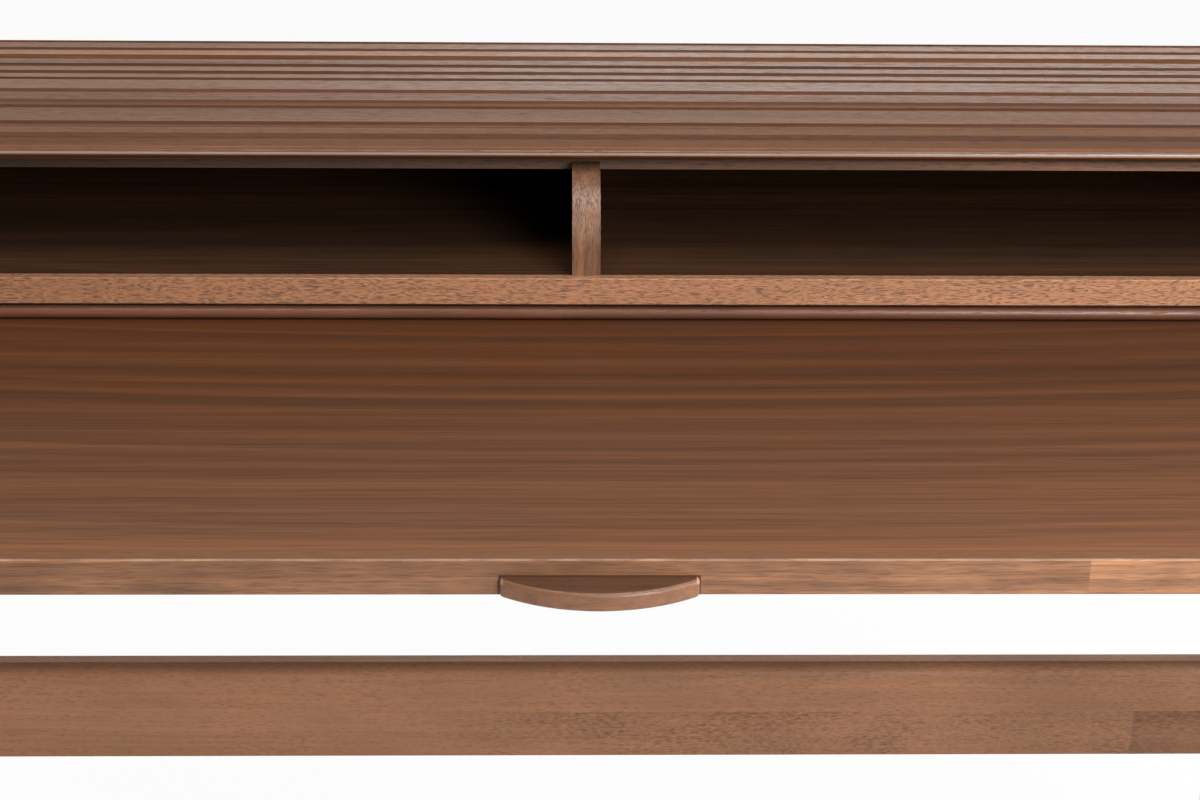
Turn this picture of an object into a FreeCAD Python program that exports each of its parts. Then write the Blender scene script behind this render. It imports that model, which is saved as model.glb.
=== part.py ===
"""Walnut tambour desk: case, legs, pull-out writing board and a slatted tambour.

Frame: millimetres, +Z up, -Y to the sitter's side, origin on the floor under the
middle of the desk with its writing board pulled out and its tambour rolled back.
"""
import FreeCAD
import Part
import math
import os

Vector = FreeCAD.Vector
doc = FreeCAD.newDocument("tambour_desk")

# ---------------------------------------------------------------- driving dimensions
SIZES = [
    ("case_width", 1200, "over the two side panels"),
    ("rear_depth", 321, "from the shelf's front edge back to the rear of the case"),
    ("side_thickness", 20, "side panels"),
    ("side_rise", 6, "side panels stand above the slats"),
    ("writing_height", 745, "floor to the top of the writing board"),
    ("board_thickness", 19, "writing board"),
    ("board_depth", 378, "writing board, front to back"),
    ("board_reach", 350, "front of the shelf to the front of the pulled-out board"),
    ("board_travel", 270, "how far the board slides in"),
    ("board_side_gap", 1.5, "writing board to each side panel"),
    ("lipping_thickness", 8, "solid edge strips of the board and the shelf"),
    ("lipping_joint", 236, "where the board's front strip is pieced together"),
    ("shelf_gap", 11, "top of the board to the underside of the shelf"),
    ("shelf_thickness", 18, "pigeonhole shelf"),
    ("housing_depth", 6, "housings for the shelf and the dust board"),
    ("bead_height", 8.5, "round nose of the bead under the shelf"),
    ("bead_clearance", 0.5, "bead to the writing board"),
    ("bead_depth", 16, "front to back"),
    ("bead_setback", 1, "nose of the bead behind the shelf's front"),
    ("bead_quirk", 1.5, "flat on top of the bead before it rises to the shelf"),
    ("shelf_round", 0.8, "rounded front arrises of the shelf's solid strip"),
    ("board_round", 1, "rounded front arrises of the board's solid strip"),
    ("pigeonhole_height", 58, "shelf to dust board"),
    ("dust_board_thickness", 8, "board between pigeonholes and tambour"),
    ("dust_board_setback", 52, "behind the shelf's front"),
    ("dust_strip", 6, "solid front strip of the dust board"),
    ("divider_thickness", 18, "upright between the pigeonholes"),
    ("divider_setback", 6, "behind the shelf's front"),
    ("divider_offset", 2.4, "divider to the left of the desk's middle"),
    ("divider_horn", 5, "divider stands above the underside of the dust board"),
    ("divider_round", 46, "quarter round at the divider's top front"),
    ("back_thickness", 8, "back panel"),
    ("back_inset", 13, "back panel in from the rear of the side panels"),
    ("cap_height", 34, "rear top rail"),
    ("cap_rise", 1.4, "front arris of the rear top rail above the slats' level"),
    ("cap_fall", 3, "how far the rear top rail's top slopes down to the rear"),
    ("apron_height", 46, "front rail under the writing board"),
    ("apron_thickness", 18, "front rail under the writing board"),
    ("apron_clearance", 2, "writing board to the front rail"),
    ("bottom_thickness", 12, "bottom panel of the case"),
    ("leg_width", 46, "square section of the legs"),
    ("leg_foot", 28, "square section at the floor"),
    ("leg_inset", 6, "legs in from the sides and ends of the case"),
    ("leg_round", 4, "rounded arrises of the legs"),
    ("taper_height", 240, "floor to where the taper ends"),
    ("glide_height", 4, "glides under the legs"),
    ("glide_radius", 11, "glides under the legs"),
    ("glide_chamfer", 1, "glides under the legs"),
    ("frame_rail_height", 55, "side rails between front and rear legs"),
    ("frame_rail_thickness", 22, "side rails between front and rear legs"),
    ("tenon_thickness", 10, "tenons of the rails"),
    ("tenon_length", 24, "tenons of the rails"),
    ("tenon_shoulder", 8, "tenon in from the rail's top and bottom"),
    ("lower_rail_height", 84, "rail between the rear legs"),
    ("lower_rail_thickness", 24, "rail between the rear legs"),
    ("lower_rail_level", 256, "floor to the rail's underside"),
    ("lower_rail_round", 9, "rounded front top edge of the rail"),
    ("pull_chord", 96, "crescent pull, end to end"),
    ("pull_reach", 19, "crescent pull in front of the board"),
    ("pull_thickness", 10, "crescent pull"),
    ("pull_tip", 3, "depth of the crescent's blunt ends"),
    ("pull_round", 2.5, "crescent pull's nose"),
    ("slide_length", 350, "ball slides"),
    ("slide_height", 35, "ball slides"),
    ("slide_width", 12, "ball slides"),
    ("slide_sheet", 1.2, "steel of the ball slides"),
    ("slide_back_gap", 8, "rear end of the fixed slide to the back panel"),
    ("ball_diameter", 4, "balls of the slides"),
    ("ball_play", 0.1, "each side of a ball"),
    ("cage_length", 74, "ball cages"),
    ("cage_sheet", 0.6, "steel of the ball cages"),
    ("cage_end_gap", 3, "ball cage to the front end of the fixed slide"),
    ("bearer_thickness", 18, "wooden bearers under the writing board"),
    ("bearer_height", 38, "wooden bearers under the writing board"),
    ("bearer_play", 2, "bearers to the notches of the front rail"),
    ("bearer_end_gap", 12, "bearers in from the board's front strip and rear edge"),
    ("slat_thickness", 9, "tambour slats"),
    ("slat_gap", 0.8, "between neighbouring slats"),
    ("slat_bevel", 3, "bevelled long edges of the slats"),
    ("nose_radius", 3.1, "bead along the front of the lift rail"),
    ("nose_quirk", 0.8, "step from the lift rail's face down to its bead"),
    ("slat_end_gap", 1, "slat to side panel"),
    ("tongue_thickness", 3.5, "tongues on the slats' ends"),
    ("tongue_width", 14, "tongues on the slats' ends"),
    ("tongue_length", 5.5, "tongues on the slats' ends"),
    ("groove_depth", 7, "tambour groove in the side panels"),
    ("groove_margin", 0.3, "groove stays inside the slats' thickness"),
    ("track_level", 80, "underside of the level slats above the shelf's top"),
    ("groove_end_gap", 2, "front end of the groove past the shut lift rail"),
    ("tongue_shoulder", 2, "tongue in from the slat's long edges, at least"),
    ("canvas_thickness", 0.6, "canvas glued under the slats"),
    ("canvas_inset", 1, "canvas in from a slat's long edges, where it bends freely"),
    ("canvas_end_inset", 14, "canvas in from the slats' ends"),
    ("nose_setback", 33.8, "rolled-back lift rail behind the shelf's front"),
    ("nose_run", 114.4, "length of the track's bend that the open tambour covers"),
    ("tambour_travel", 140.6, "how far the tambour rolls down"),
    ("first_ease_length", 60, "start of the track's bend"),
    ("first_ease_radius", 600, "start of the track's bend"),
    ("second_ease_length", 50, "next part of the bend"),
    ("second_ease_radius", 300, "next part of the bend"),
    ("third_ease_length", 50, "next part of the bend"),
    ("third_ease_radius", 180, "next part of the bend"),
    ("turn_radius", 110, "final turn down to the writing board"),
    ("screw_radius", 2, "wood screws"),
    ("screw_head_radius", 4, "wood screws"),
    ("screw_length", 26, "screws of the leg frame"),
    ("screw_bite", 13, "screws of the bearers into the writing board"),
    ("short_screw_length", 20, "screws of the back panel"),
    ("dowel_radius", 3, "dowels of the pull"),
    ("dowel_length", 24, "dowels of the pull"),
]
# pitch of each slat from the lift rail backwards, and how far its face stands proud
SLATS = [
    ("lift_rail", 17.7, 0.0),
    ("slat_1", 15.6, 0.1),
    ("slat_2", 34.8, -0.2),
    ("slat_3", 36.1, 0.5),
    ("slat_4", 38.1, 0.7),
    ("slat_5", 23.5, 0.1),
    ("slat_6", 24.3, -0.2),
    ("slat_7", 28.7, -0.3),
    ("slat_8", 27.9, 0.6),
    ("slat_9", 28.9, 0.5),
]

sheet = doc.addObject("Spreadsheet::Sheet", "Sizes")
for row, (alias, value, note) in enumerate(SIZES, start=1):
    sheet.set("A%d" % row, alias.replace("_", " ") + ": " + note)
    sheet.set("B%d" % row, str(value))
    sheet.setAlias("B%d" % row, alias)
doc.recompute()


def val(alias):
    """Read one driving dimension back from the sheet."""
    return float(sheet.get(alias))


# ---------------------------------------------------------------- derived levels and planes
shelf_y = (val("board_reach") + val("pull_reach") - val("rear_depth")) / 2
rear_y = shelf_y + val("rear_depth")
inner_x = val("case_width") / 2 - val("side_thickness")
board_top = val("writing_height")
board_under = board_top - val("board_thickness")
shelf_under = board_top + val("shelf_gap")
shelf_top = shelf_under + val("shelf_thickness")
dust_under = shelf_top + val("pigeonhole_height")
dust_top = dust_under + val("dust_board_thickness")
track_z = shelf_top + val("track_level")
apron_top = board_under - val("apron_clearance")
bottom_top = apron_top - val("apron_height")
case_under = bottom_top - val("bottom_thickness")
back_y = rear_y - val("back_inset") - val("back_thickness")
board_front = shelf_y - val("board_reach")
dust_y = shelf_y + val("dust_board_setback")
INNER_WIDTH = "(Sizes.case_width - 2 * Sizes.side_thickness)"


# ---------------------------------------------------------------- the tambour's track
class Track:
    """Line under the slats: level at the rear, then a bend that tightens to the front."""

    def __init__(self):
        self.bends = [
            (val("first_ease_length"), val("first_ease_radius")),
            (val("second_ease_length"), val("second_ease_radius")),
            (val("third_ease_length"), val("third_ease_radius")),
        ]
        eased = sum(length / radius for length, radius in self.bends)
        last_turn = (math.pi / 2 - eased) * val("turn_radius")
        self.bends.append((last_turn, val("turn_radius")))
        self.length = sum(length for length, radius in self.bends)
        self.start_y = 0.0
        nose_y = self.at(val("nose_run"))[0]
        self.start_y = shelf_y + val("nose_setback") - nose_y

    def at(self, run, out=0.0):
        """Return y, z and slope of the point at a run past the start of the bend."""
        y, z, slope = self.start_y, track_z, 0.0
        if run < 0:
            y -= run
        left = max(run, 0.0)
        for length, radius in self.bends:
            step = min(left, length)
            centre_y = y + radius * math.sin(slope)
            centre_z = z - radius * math.cos(slope)
            slope += step / radius
            y = centre_y - radius * math.sin(slope)
            z = centre_z + radius * math.cos(slope)
            left -= step
        y -= left * math.cos(slope)
        z -= left * math.sin(slope)
        return y - out * math.sin(slope), z + out * math.cos(slope), slope

    def breaks(self, start, end):
        """Runs where one part of the track meets the next, between start and end."""
        runs = [start]
        total = 0.0
        for length, radius in [(0.0, 0.0)] + self.bends:
            total += length
            if start < total < end:
                runs.append(total)
        return runs + [end]

    def edges(self, start, end, out):
        """Sketch edges along the track from start to end, offset outwards."""
        result = []
        runs = self.breaks(start, end)
        for low, high in zip(runs, runs[1:]):
            first = self.at(low, out)[:2]
            last = self.at(high, out)[:2]
            if high <= 0 or low >= self.length:
                result.append(line(first, last))
            else:
                result.append(arc(first, self.at((low + high) / 2, out)[:2], last))
        return result


# ---------------------------------------------------------------- modelling helpers
def flat(point):
    return Vector(point[0], point[1], 0)


def line(first, last):
    return Part.LineSegment(flat(first), flat(last))


def arc(first, middle, last):
    """Arc through three points as sketch geometry."""
    curve = Part.Arc(flat(first), flat(middle), flat(last)).toShape().Curve
    centre = curve.Center
    angles = [math.atan2(p[1] - centre.y, p[0] - centre.x) for p in (first, middle, last)]
    turn = (angles[1] - angles[0]) % (2 * math.pi)
    whole = (angles[2] - angles[0]) % (2 * math.pi)
    circle = Part.Circle(centre, Vector(0, 0, 1), curve.Radius)
    if turn < whole:
        return Part.ArcOfCircle(circle, angles[0], angles[0] + whole)
    return Part.ArcOfCircle(circle, angles[2], angles[2] + 2 * math.pi - whole)


def polygon(points):
    return [line(a, b) for a, b in zip(points, points[1:] + points[:1])]


def rectangle(low, high):
    return polygon([(low[0], low[1]), (high[0], low[1]), (high[0], high[1]), (low[0], high[1])])


nodes = []


def keep(item, label):
    """Give a finished piece its node name."""
    item.Label = label
    nodes.append(item)
    return item


def new_body(name):
    return doc.addObject("PartDesign::Body", name)


def new_sketch(body, role, name, edges, offset=0.0):
    """Sketch on one of the body's own origin planes, shifted along the plane's normal."""
    plane = [f for f in body.Origin.OriginFeatures if f.Role == role][0]
    sketch = body.newObject("Sketcher::SketchObject", name)
    sketch.AttachmentSupport = [(plane, "")]
    sketch.MapMode = "FlatFace"
    sketch.AttachmentOffset = FreeCAD.Placement(Vector(0, 0, offset), FreeCAD.Rotation())
    sketch.addGeometry(edges, False)
    return sketch


def add_pad(body, sketch, length):
    """Pad a sketch by a length given as an expression of the sheet."""
    pad = body.newObject("PartDesign::Pad", sketch.Name + "_pad")
    pad.Profile = sketch
    pad.setExpression("Length", length)
    return pad


def add_pocket(body, sketch, length, reverse=False):
    pocket = body.newObject("PartDesign::Pocket", sketch.Name + "_pocket")
    pocket.Profile = sketch
    pocket.setExpression("Length", length)
    pocket.Reversed = reverse
    return pocket


def move(item, x=0.0, y=0.0, z=0.0):
    item.Placement = FreeCAD.Placement(Vector(x, y, z), item.Placement.Rotation)
    return item


def moulding(label, edges, length, x, final=True):
    """Body with one profile in the YZ plane, run along X from x by an expression."""
    body = new_body(label)
    add_pad(body, new_sketch(body, "YZ_Plane", label + "_profile", edges), length)
    move(body, x=x)
    return keep(body, label) if final else body


def board(label, length, width, height, corner, final=True):
    """Plain board: three expressions for its size and its low corner."""
    box = doc.addObject("Part::Box", label)
    box.setExpression("Length", length)
    box.setExpression("Width", width)
    box.setExpression("Height", height)
    box.Placement.Base = Vector(*corner)
    return keep(box, label) if final else box


def cut(label, base, tool, final=True):
    result = doc.addObject("Part::Cut", label)
    result.Base = base
    result.Tool = tool
    return keep(result, label) if final else result


def fuse(label, parts, final=True):
    result = doc.addObject("Part::MultiFuse", label)
    result.Shapes = parts
    result.Refine = True
    return keep(result, label) if final else result


def soften(label, base, radius, pick, final=True):
    """Round the edges of base that pick(edge) chooses."""
    doc.recompute()
    result = doc.addObject("Part::Fillet", label)
    result.Base = base
    chosen = [i for i, edge in enumerate(base.Shape.Edges, start=1) if pick(edge)]
    result.Edges = [(i, radius, radius) for i in chosen]
    return keep(result, label) if final else result


def runs_along(edge, axis):
    """True for a straight edge parallel to an axis."""
    if len(edge.Vertexes) < 2:
        return False
    ends = [v.Point for v in edge.Vertexes]
    span = ends[1].sub(ends[0])
    return span.Length > 0 and abs(abs(span.normalize().dot(axis)) - 1) < 1e-6


def screw(length, start, direction):
    """Countersunk wood screw: head at start, pointing along direction."""
    radius = val("screw_radius")
    head = val("screw_head_radius")
    tip = val("screw_radius")
    cone = Part.makeCone(head, radius, head - radius, start, direction)
    shank_start = start + direction * (head - radius)
    shank = Part.makeCylinder(radius, length - head - tip, shank_start, direction)
    point_start = shank_start + direction * (length - head - tip)
    point = Part.makeCone(radius, 0.4, tip + radius, point_start, direction)
    return cone.fuse(shank).fuse(point).removeSplitter()


track = Track()

# ---------------------------------------------------------------- side panels
groove_low = val("groove_margin")
groove_high = val("slat_thickness") - val("groove_margin")
panel_out = val("slat_thickness") + val("side_rise")
rear_run = track.start_y - rear_y
front_y = track.at(track.length, panel_out)[0]
board_closed = board_front + val("board_travel")
groove_front_run = val("nose_run") + val("tambour_travel") + val("groove_end_gap")


def side_profile():
    edges = track.edges(rear_run, track.length, panel_out)
    low_front = (front_y, case_under)
    low_rear = (rear_y, case_under)
    edges.append(line(track.at(track.length, panel_out)[:2], low_front))
    edges.append(line(low_front, low_rear))
    edges.append(line(low_rear, track.at(rear_run, panel_out)[:2]))
    return edges


def groove_profile():
    start = rear_run + val("back_inset")
    edges = track.edges(start, groove_front_run, groove_high)
    edges += track.edges(start, groove_front_run, groove_low)
    for run in (start, groove_front_run):
        edges.append(line(track.at(run, groove_low)[:2], track.at(run, groove_high)[:2]))
    return edges


def side_panel(label, hand):
    """Side panel with its tambour groove and the housings of shelf and dust board."""
    body = new_body(label)
    face = 0.0 if hand > 0 else val("side_thickness")
    add_pad(body, new_sketch(body, "YZ_Plane", label + "_outline", side_profile()),
            "Sizes.side_thickness")
    housings = [
        ("groove", groove_profile(), "Sizes.groove_depth"),
        ("shelf_housing", rectangle((shelf_y + val("lipping_thickness"), shelf_under),
                                    (back_y, shelf_top)), "Sizes.housing_depth"),
        ("dust_housing", rectangle((dust_y + val("dust_strip"), dust_under), (back_y, dust_top)),
         "Sizes.housing_depth"),
    ]
    for name, edges, depth in housings:
        sketch = new_sketch(body, "YZ_Plane", label + "_" + name, edges, face)
        body.Tip = add_pocket(body, sketch, depth, reverse=hand > 0)
    move(body, x=inner_x if hand > 0 else -inner_x - val("side_thickness"))
    return keep(body, label)


side_panel("side_left", -1)
side_panel("side_right", 1)

# ---------------------------------------------------------------- boards of the case
board("case_bottom", INNER_WIDTH, "Sizes.rear_depth - Sizes.back_inset - Sizes.back_thickness"
      " - %r" % (front_y - shelf_y + val("apron_thickness")), "Sizes.bottom_thickness",
      (-inner_x, front_y + val("apron_thickness"), case_under))
board("back_panel", INNER_WIDTH, "Sizes.back_thickness", "%r" % (dust_top - case_under),
      (-inner_x, back_y, case_under))
cap_y = rear_y - val("back_inset")
cap_level = track_z + val("slat_thickness")
cap_top = cap_level + val("cap_rise")
moulding("rear_cap", polygon([
    (cap_y, cap_level - val("cap_height")), (rear_y, cap_level - val("cap_height")),
    (rear_y, cap_top - val("cap_fall")), (cap_y, cap_top)]), INNER_WIDTH, -inner_x)

# ---------------------------------------------------------------- pigeonholes
shelf_back = "Sizes.rear_depth - Sizes.back_inset - Sizes.back_thickness"
HOUSED_WIDTH = "(%s + 2 * Sizes.housing_depth)" % INNER_WIDTH
housed_x = -inner_x - val("housing_depth")
board("shelf", HOUSED_WIDTH, shelf_back + " - Sizes.lipping_thickness", "Sizes.shelf_thickness",
      (housed_x, shelf_y + val("lipping_thickness"), shelf_under))
strip = board("shelf_lipping_blank", INNER_WIDTH, "Sizes.lipping_thickness",
              "Sizes.shelf_thickness", (-inner_x, shelf_y, shelf_under), final=False)
soften("shelf_lipping", strip, val("shelf_round"),
       lambda e: runs_along(e, Vector(1, 0, 0)) and e.Vertexes[0].Point.y < shelf_y + 1)

bead_low = board_top + val("bead_clearance")
bead_top = bead_low + val("bead_height")
bead_r = val("bead_height") / 2
bead_y = shelf_y + val("bead_setback")
bead_back = bead_y + val("bead_depth")
bead_step = bead_y + bead_r + val("bead_quirk")
moulding("shelf_bead", [
    arc((bead_y + bead_r, bead_top), (bead_y, bead_low + bead_r), (bead_y + bead_r, bead_low)),
    line((bead_y + bead_r, bead_low), (bead_back, bead_low)),
    line((bead_back, bead_low), (bead_back, shelf_under)),
    line((bead_back, shelf_under), (bead_step, shelf_under)),
    line((bead_step, shelf_under), (bead_step, bead_top)),
    line((bead_step, bead_top), (bead_y + bead_r, bead_top)),
], INNER_WIDTH, -inner_x)

divider_y = shelf_y + val("divider_setback")
horn_z = dust_under + val("divider_horn")
round_r = val("divider_round")
round_y, round_z = divider_y + round_r, horn_z - round_r
corner = round_r * (1 - math.sqrt(0.5))
divider_edges = [
    line((divider_y, shelf_top), (divider_y, round_z)),
    arc((divider_y, round_z), (divider_y + corner, horn_z - corner), (round_y, horn_z)),
]
divider_edges += [
    line((round_y, horn_z), (dust_y, horn_z)) if dust_y > round_y + 1e-6 else None,
    line((dust_y, horn_z), (dust_y, dust_under)),
    line((dust_y, dust_under), (back_y, dust_under)),
    line((back_y, dust_under), (back_y, shelf_top)),
    line((back_y, shelf_top), (divider_y, shelf_top)),
]
moulding("divider", [e for e in divider_edges if e], "Sizes.divider_thickness",
         -val("divider_thickness") / 2 - val("divider_offset"))

board("dust_board", HOUSED_WIDTH, shelf_back + " - Sizes.dust_board_setback - Sizes.dust_strip",
      "Sizes.dust_board_thickness", (housed_x, dust_y + val("dust_strip"), dust_under))
board("dust_board_lipping", INNER_WIDTH, "Sizes.dust_strip", "Sizes.dust_board_thickness",
      (-inner_x, dust_y, dust_under))

# ---------------------------------------------------------------- legs and rails
leg_w = val("leg_width")
leg_top = case_under
leg_front_y = front_y + val("leg_inset")
leg_rear_y = rear_y - val("leg_inset") - leg_w
leg_x = val("case_width") / 2 - val("leg_inset") - leg_w
lower_rail_y = leg_rear_y + (leg_w - val("lower_rail_thickness")) / 2
frame_rail_x = leg_x + (leg_w - val("frame_rail_thickness")) / 2
frame_rail_z = leg_top - val("frame_rail_height")
tenon_t = val("tenon_thickness")
tenon_l = val("tenon_length")


def rounded_square(low, side):
    """Square with rounded corners, low corner first."""
    r = val("leg_round")
    near = r * (1 - math.sqrt(0.5))
    x, y = low
    edges = []
    for k in range(4):
        spin = FreeCAD.Rotation(Vector(0, 0, 1), 90 * k)
        points = []
        for px, py in ((r, 0), (side - r, 0), (side - near, near), (side, r)):
            p = spin.multVec(Vector(px - side / 2, py - side / 2, 0))
            points.append((p.x + x + side / 2, p.y + y + side / 2))
        edges.append(line(points[0], points[1]))
        edges.append(arc(points[1], points[2], points[3]))
    return edges


def leg(label, hand, rear):
    """Square leg, tapered on its two inner faces below the rails, with its mortises."""
    low_x = leg_x if hand > 0 else -leg_x - leg_w
    low_y = leg_rear_y if rear else leg_front_y
    slim = leg_w - val("leg_foot")
    foot = (low_x + (slim if hand > 0 else 0), low_y + (slim if rear else 0))
    body = new_body(label + "_body")
    square = rounded_square((low_x, low_y), leg_w)
    post = new_sketch(body, "XY_Plane", label + "_post", square, val("taper_height"))
    add_pad(body, post, "%r - Sizes.taper_height" % leg_top)
    top = new_sketch(body, "XY_Plane", label + "_taper_top", square, val("taper_height"))
    end = new_sketch(body, "XY_Plane", label + "_taper_end",
                     rounded_square(foot, val("leg_foot")), val("glide_height"))
    taper = body.newObject("PartDesign::AdditiveLoft", label + "_taper")
    taper.Profile = top
    taper.Sections = [end]
    taper.Ruled = True
    body.Tip = taper
    mortises = [board(label + "_side_mortise", "Sizes.tenon_thickness", "Sizes.tenon_length",
                      "Sizes.frame_rail_height - 2 * Sizes.tenon_shoulder",
                      (low_x + (leg_w - tenon_t) / 2,
                       low_y if rear else low_y + leg_w - tenon_l,
                       frame_rail_z + val("tenon_shoulder")), final=False)]
    if rear:
        mortises.append(board(label + "_rail_mortise", "Sizes.tenon_length",
                              "Sizes.tenon_thickness",
                              "Sizes.lower_rail_height - 2 * Sizes.tenon_shoulder",
                              (low_x if hand > 0 else low_x + leg_w - tenon_l,
                               low_y + (leg_w - tenon_t) / 2,
                               val("lower_rail_level") + val("tenon_shoulder")), final=False))
    tools = mortises[0] if len(mortises) == 1 else fuse(label + "_mortises", mortises, final=False)
    return cut(label, body, tools)


for hand, side in ((-1, "left"), (1, "right")):
    leg("leg_front_" + side, hand, False)
    leg("leg_rear_" + side, hand, True)

# rail between the rear legs, with its rounded front top edge
rail_t = val("lower_rail_thickness")
rail_low = val("lower_rail_level")
rail_high = rail_low + val("lower_rail_height")
rail_r = val("lower_rail_round")
rail_corner = rail_r * (1 - math.sqrt(0.5))
rail_y = lower_rail_y
rail_bar = moulding("lower_rail_bar", [
    line((rail_y, rail_low), (rail_y, rail_high - rail_r)),
    arc((rail_y, rail_high - rail_r), (rail_y + rail_corner, rail_high - rail_corner),
        (rail_y + rail_r, rail_high)),
    line((rail_y + rail_r, rail_high), (rail_y + rail_t, rail_high)),
    line((rail_y + rail_t, rail_high), (rail_y + rail_t, rail_low)),
    line((rail_y + rail_t, rail_low), (rail_y, rail_low)),
], "2 * (Sizes.case_width / 2 - Sizes.leg_inset - Sizes.leg_width)", -leg_x, final=False)
rail_tenon = board("lower_rail_tenon",
                   "2 * (Sizes.case_width / 2 - Sizes.leg_inset - Sizes.leg_width"
                   " + Sizes.tenon_length)", "Sizes.tenon_thickness",
                   "Sizes.lower_rail_height - 2 * Sizes.tenon_shoulder",
                   (-leg_x - tenon_l, rail_y + (rail_t - tenon_t) / 2,
                    rail_low + val("tenon_shoulder")), final=False)
fuse("lower_rail", [rail_bar, rail_tenon])

span_y = leg_rear_y - leg_front_y - leg_w
for hand, side in ((-1, "left"), (1, "right")):
    low_x = frame_rail_x if hand > 0 else -frame_rail_x - val("frame_rail_thickness")
    bar = board("frame_rail_%s_bar" % side, "Sizes.frame_rail_thickness", "%r" % span_y,
                "Sizes.frame_rail_height", (low_x, leg_front_y + leg_w, frame_rail_z),
                final=False)
    tenon = board("frame_rail_%s_tenon" % side, "Sizes.tenon_thickness",
                  "%r + 2 * Sizes.tenon_length" % span_y,
                  "Sizes.frame_rail_height - 2 * Sizes.tenon_shoulder",
                  (low_x + (val("frame_rail_thickness") - tenon_t) / 2,
                   leg_front_y + leg_w - tenon_l, frame_rail_z + val("tenon_shoulder")),
                  final=False)
    fuse("frame_rail_" + side, [bar, tenon])

# turned glides under the four legs
foot_c = val("leg_foot") / 2
glide_item = doc.addObject("Part::Feature", "glides")
glide_shapes = []
for hand in (-1, 1):
    for rear in (False, True):
        outer_x = hand * (val("case_width") / 2 - val("leg_inset"))
        outer_y = leg_rear_y + leg_w if rear else leg_front_y
        at = Vector(outer_x - hand * foot_c, outer_y + (-foot_c if rear else foot_c), 0)
        disc = Part.makeCylinder(val("glide_radius"), val("glide_height"), at)
        low_rim = [e for e in disc.Edges if e.BoundBox.ZMax < 1e-6]
        glide_shapes.append(disc.makeChamfer(val("glide_chamfer"), low_rim))
glide_item.Shape = Part.makeCompound(glide_shapes)
keep(glide_item, "glides")

# ---------------------------------------------------------------- writing board
board_x = inner_x - val("board_side_gap")
lip = val("lipping_thickness")
BOARD_WIDTH = "(%s - 2 * Sizes.board_side_gap)" % INNER_WIDTH
board("writing_board", BOARD_WIDTH + " - 2 * Sizes.lipping_thickness",
      "Sizes.board_depth - Sizes.lipping_thickness", "Sizes.board_thickness",
      (-board_x + lip, board_front + lip, board_under))
for hand, side in ((-1, "left"), (1, "right")):
    board("board_lipping_" + side, "Sizes.lipping_thickness",
          "Sizes.board_depth - Sizes.lipping_thickness", "Sizes.board_thickness",
          (board_x - lip if hand > 0 else -board_x, board_front + lip, board_under))
long_strip = board("front_lipping_long_blank",
                   "%s / 2 + Sizes.lipping_joint" % BOARD_WIDTH, "Sizes.lipping_thickness",
                   "Sizes.board_thickness", (-board_x, board_front, board_under), final=False)
short_strip = board("front_lipping_short_blank",
                    "%s / 2 - Sizes.lipping_joint" % BOARD_WIDTH, "Sizes.lipping_thickness",
                    "Sizes.board_thickness",
                    (val("lipping_joint"), board_front, board_under), final=False)
for name, blank in (("front_lipping_long", long_strip), ("front_lipping_short", short_strip)):
    soften(name, blank, val("board_round"),
           lambda e: runs_along(e, Vector(1, 0, 0)) and e.Vertexes[0].Point.y < board_front + 1)

# crescent pull glued and screwed to the front strip
half = val("pull_chord") / 2
reach = val("pull_reach")
blunt = val("pull_tip")
pull = new_body("pull")
pull_sketch = new_sketch(pull, "XY_Plane", "pull_outline", [
    line((-half, 0), (-half, -blunt)),
    arc((-half, -blunt), (0, -reach), (half, -blunt)),
    line((half, -blunt), (half, 0)),
    line((half, 0), (-half, 0)),
])
pull.Tip = add_pad(pull, pull_sketch, "Sizes.pull_thickness")
doc.recompute()


def pull_fillet(name, radius, pick):
    """Round the pull's edges that pick(edge) chooses."""
    doc.recompute()
    base = pull.Tip
    chosen = ["Edge%d" % i for i, e in enumerate(base.Shape.Edges, start=1) if pick(e)]
    fillet = pull.newObject("PartDesign::Fillet", name)
    fillet.Base = (base, chosen)
    fillet.setExpression("Radius", radius)
    pull.Tip = fillet


def is_end_corner(edge):
    return runs_along(edge, Vector(0, 0, 1)) and edge.Vertexes[0].Point.y < -blunt / 2


def is_nose(edge):
    middle = edge.valueAt((edge.FirstParameter + edge.LastParameter) / 2)
    return not runs_along(edge, Vector(0, 0, 1)) and middle.y < -1e-3


pull_fillet("pull_ends", "Sizes.pull_tip * 0.9", is_end_corner)
pull_fillet("pull_nose", "Sizes.pull_round", is_nose)
move(pull, y=board_front, z=board_under)
keep(pull, "pull")

# wooden bearers under the board
bearer_x = inner_x - val("slide_width") - val("bearer_thickness")
bearer_y = board_front + val("lipping_thickness") + val("bearer_end_gap")
BEARER_LENGTH = "Sizes.board_depth - Sizes.lipping_thickness - 2 * Sizes.bearer_end_gap"
for hand, side in ((-1, "left"), (1, "right")):
    low_x = bearer_x if hand > 0 else -bearer_x - val("bearer_thickness")
    board("bearer_" + side, "Sizes.bearer_thickness", BEARER_LENGTH, "Sizes.bearer_height",
          (low_x, bearer_y, board_under - val("bearer_height")))

# front rail, notched at its ends for the bearers and slides to pass
notch_x = bearer_x - val("bearer_play")
notch_z = board_under - val("bearer_height") - val("bearer_play")
front_rail = new_body("front_rail")
front_rail_sketch = new_sketch(front_rail, "XZ_Plane", "front_rail_outline", polygon([
    (-inner_x, case_under), (inner_x, case_under), (inner_x, notch_z), (notch_x, notch_z),
    (notch_x, apron_top), (-notch_x, apron_top), (-notch_x, notch_z), (-inner_x, notch_z)]))
add_pad(front_rail, front_rail_sketch, "Sizes.apron_thickness").Reversed = True
keep(move(front_rail, y=front_y), "front_rail")

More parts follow.
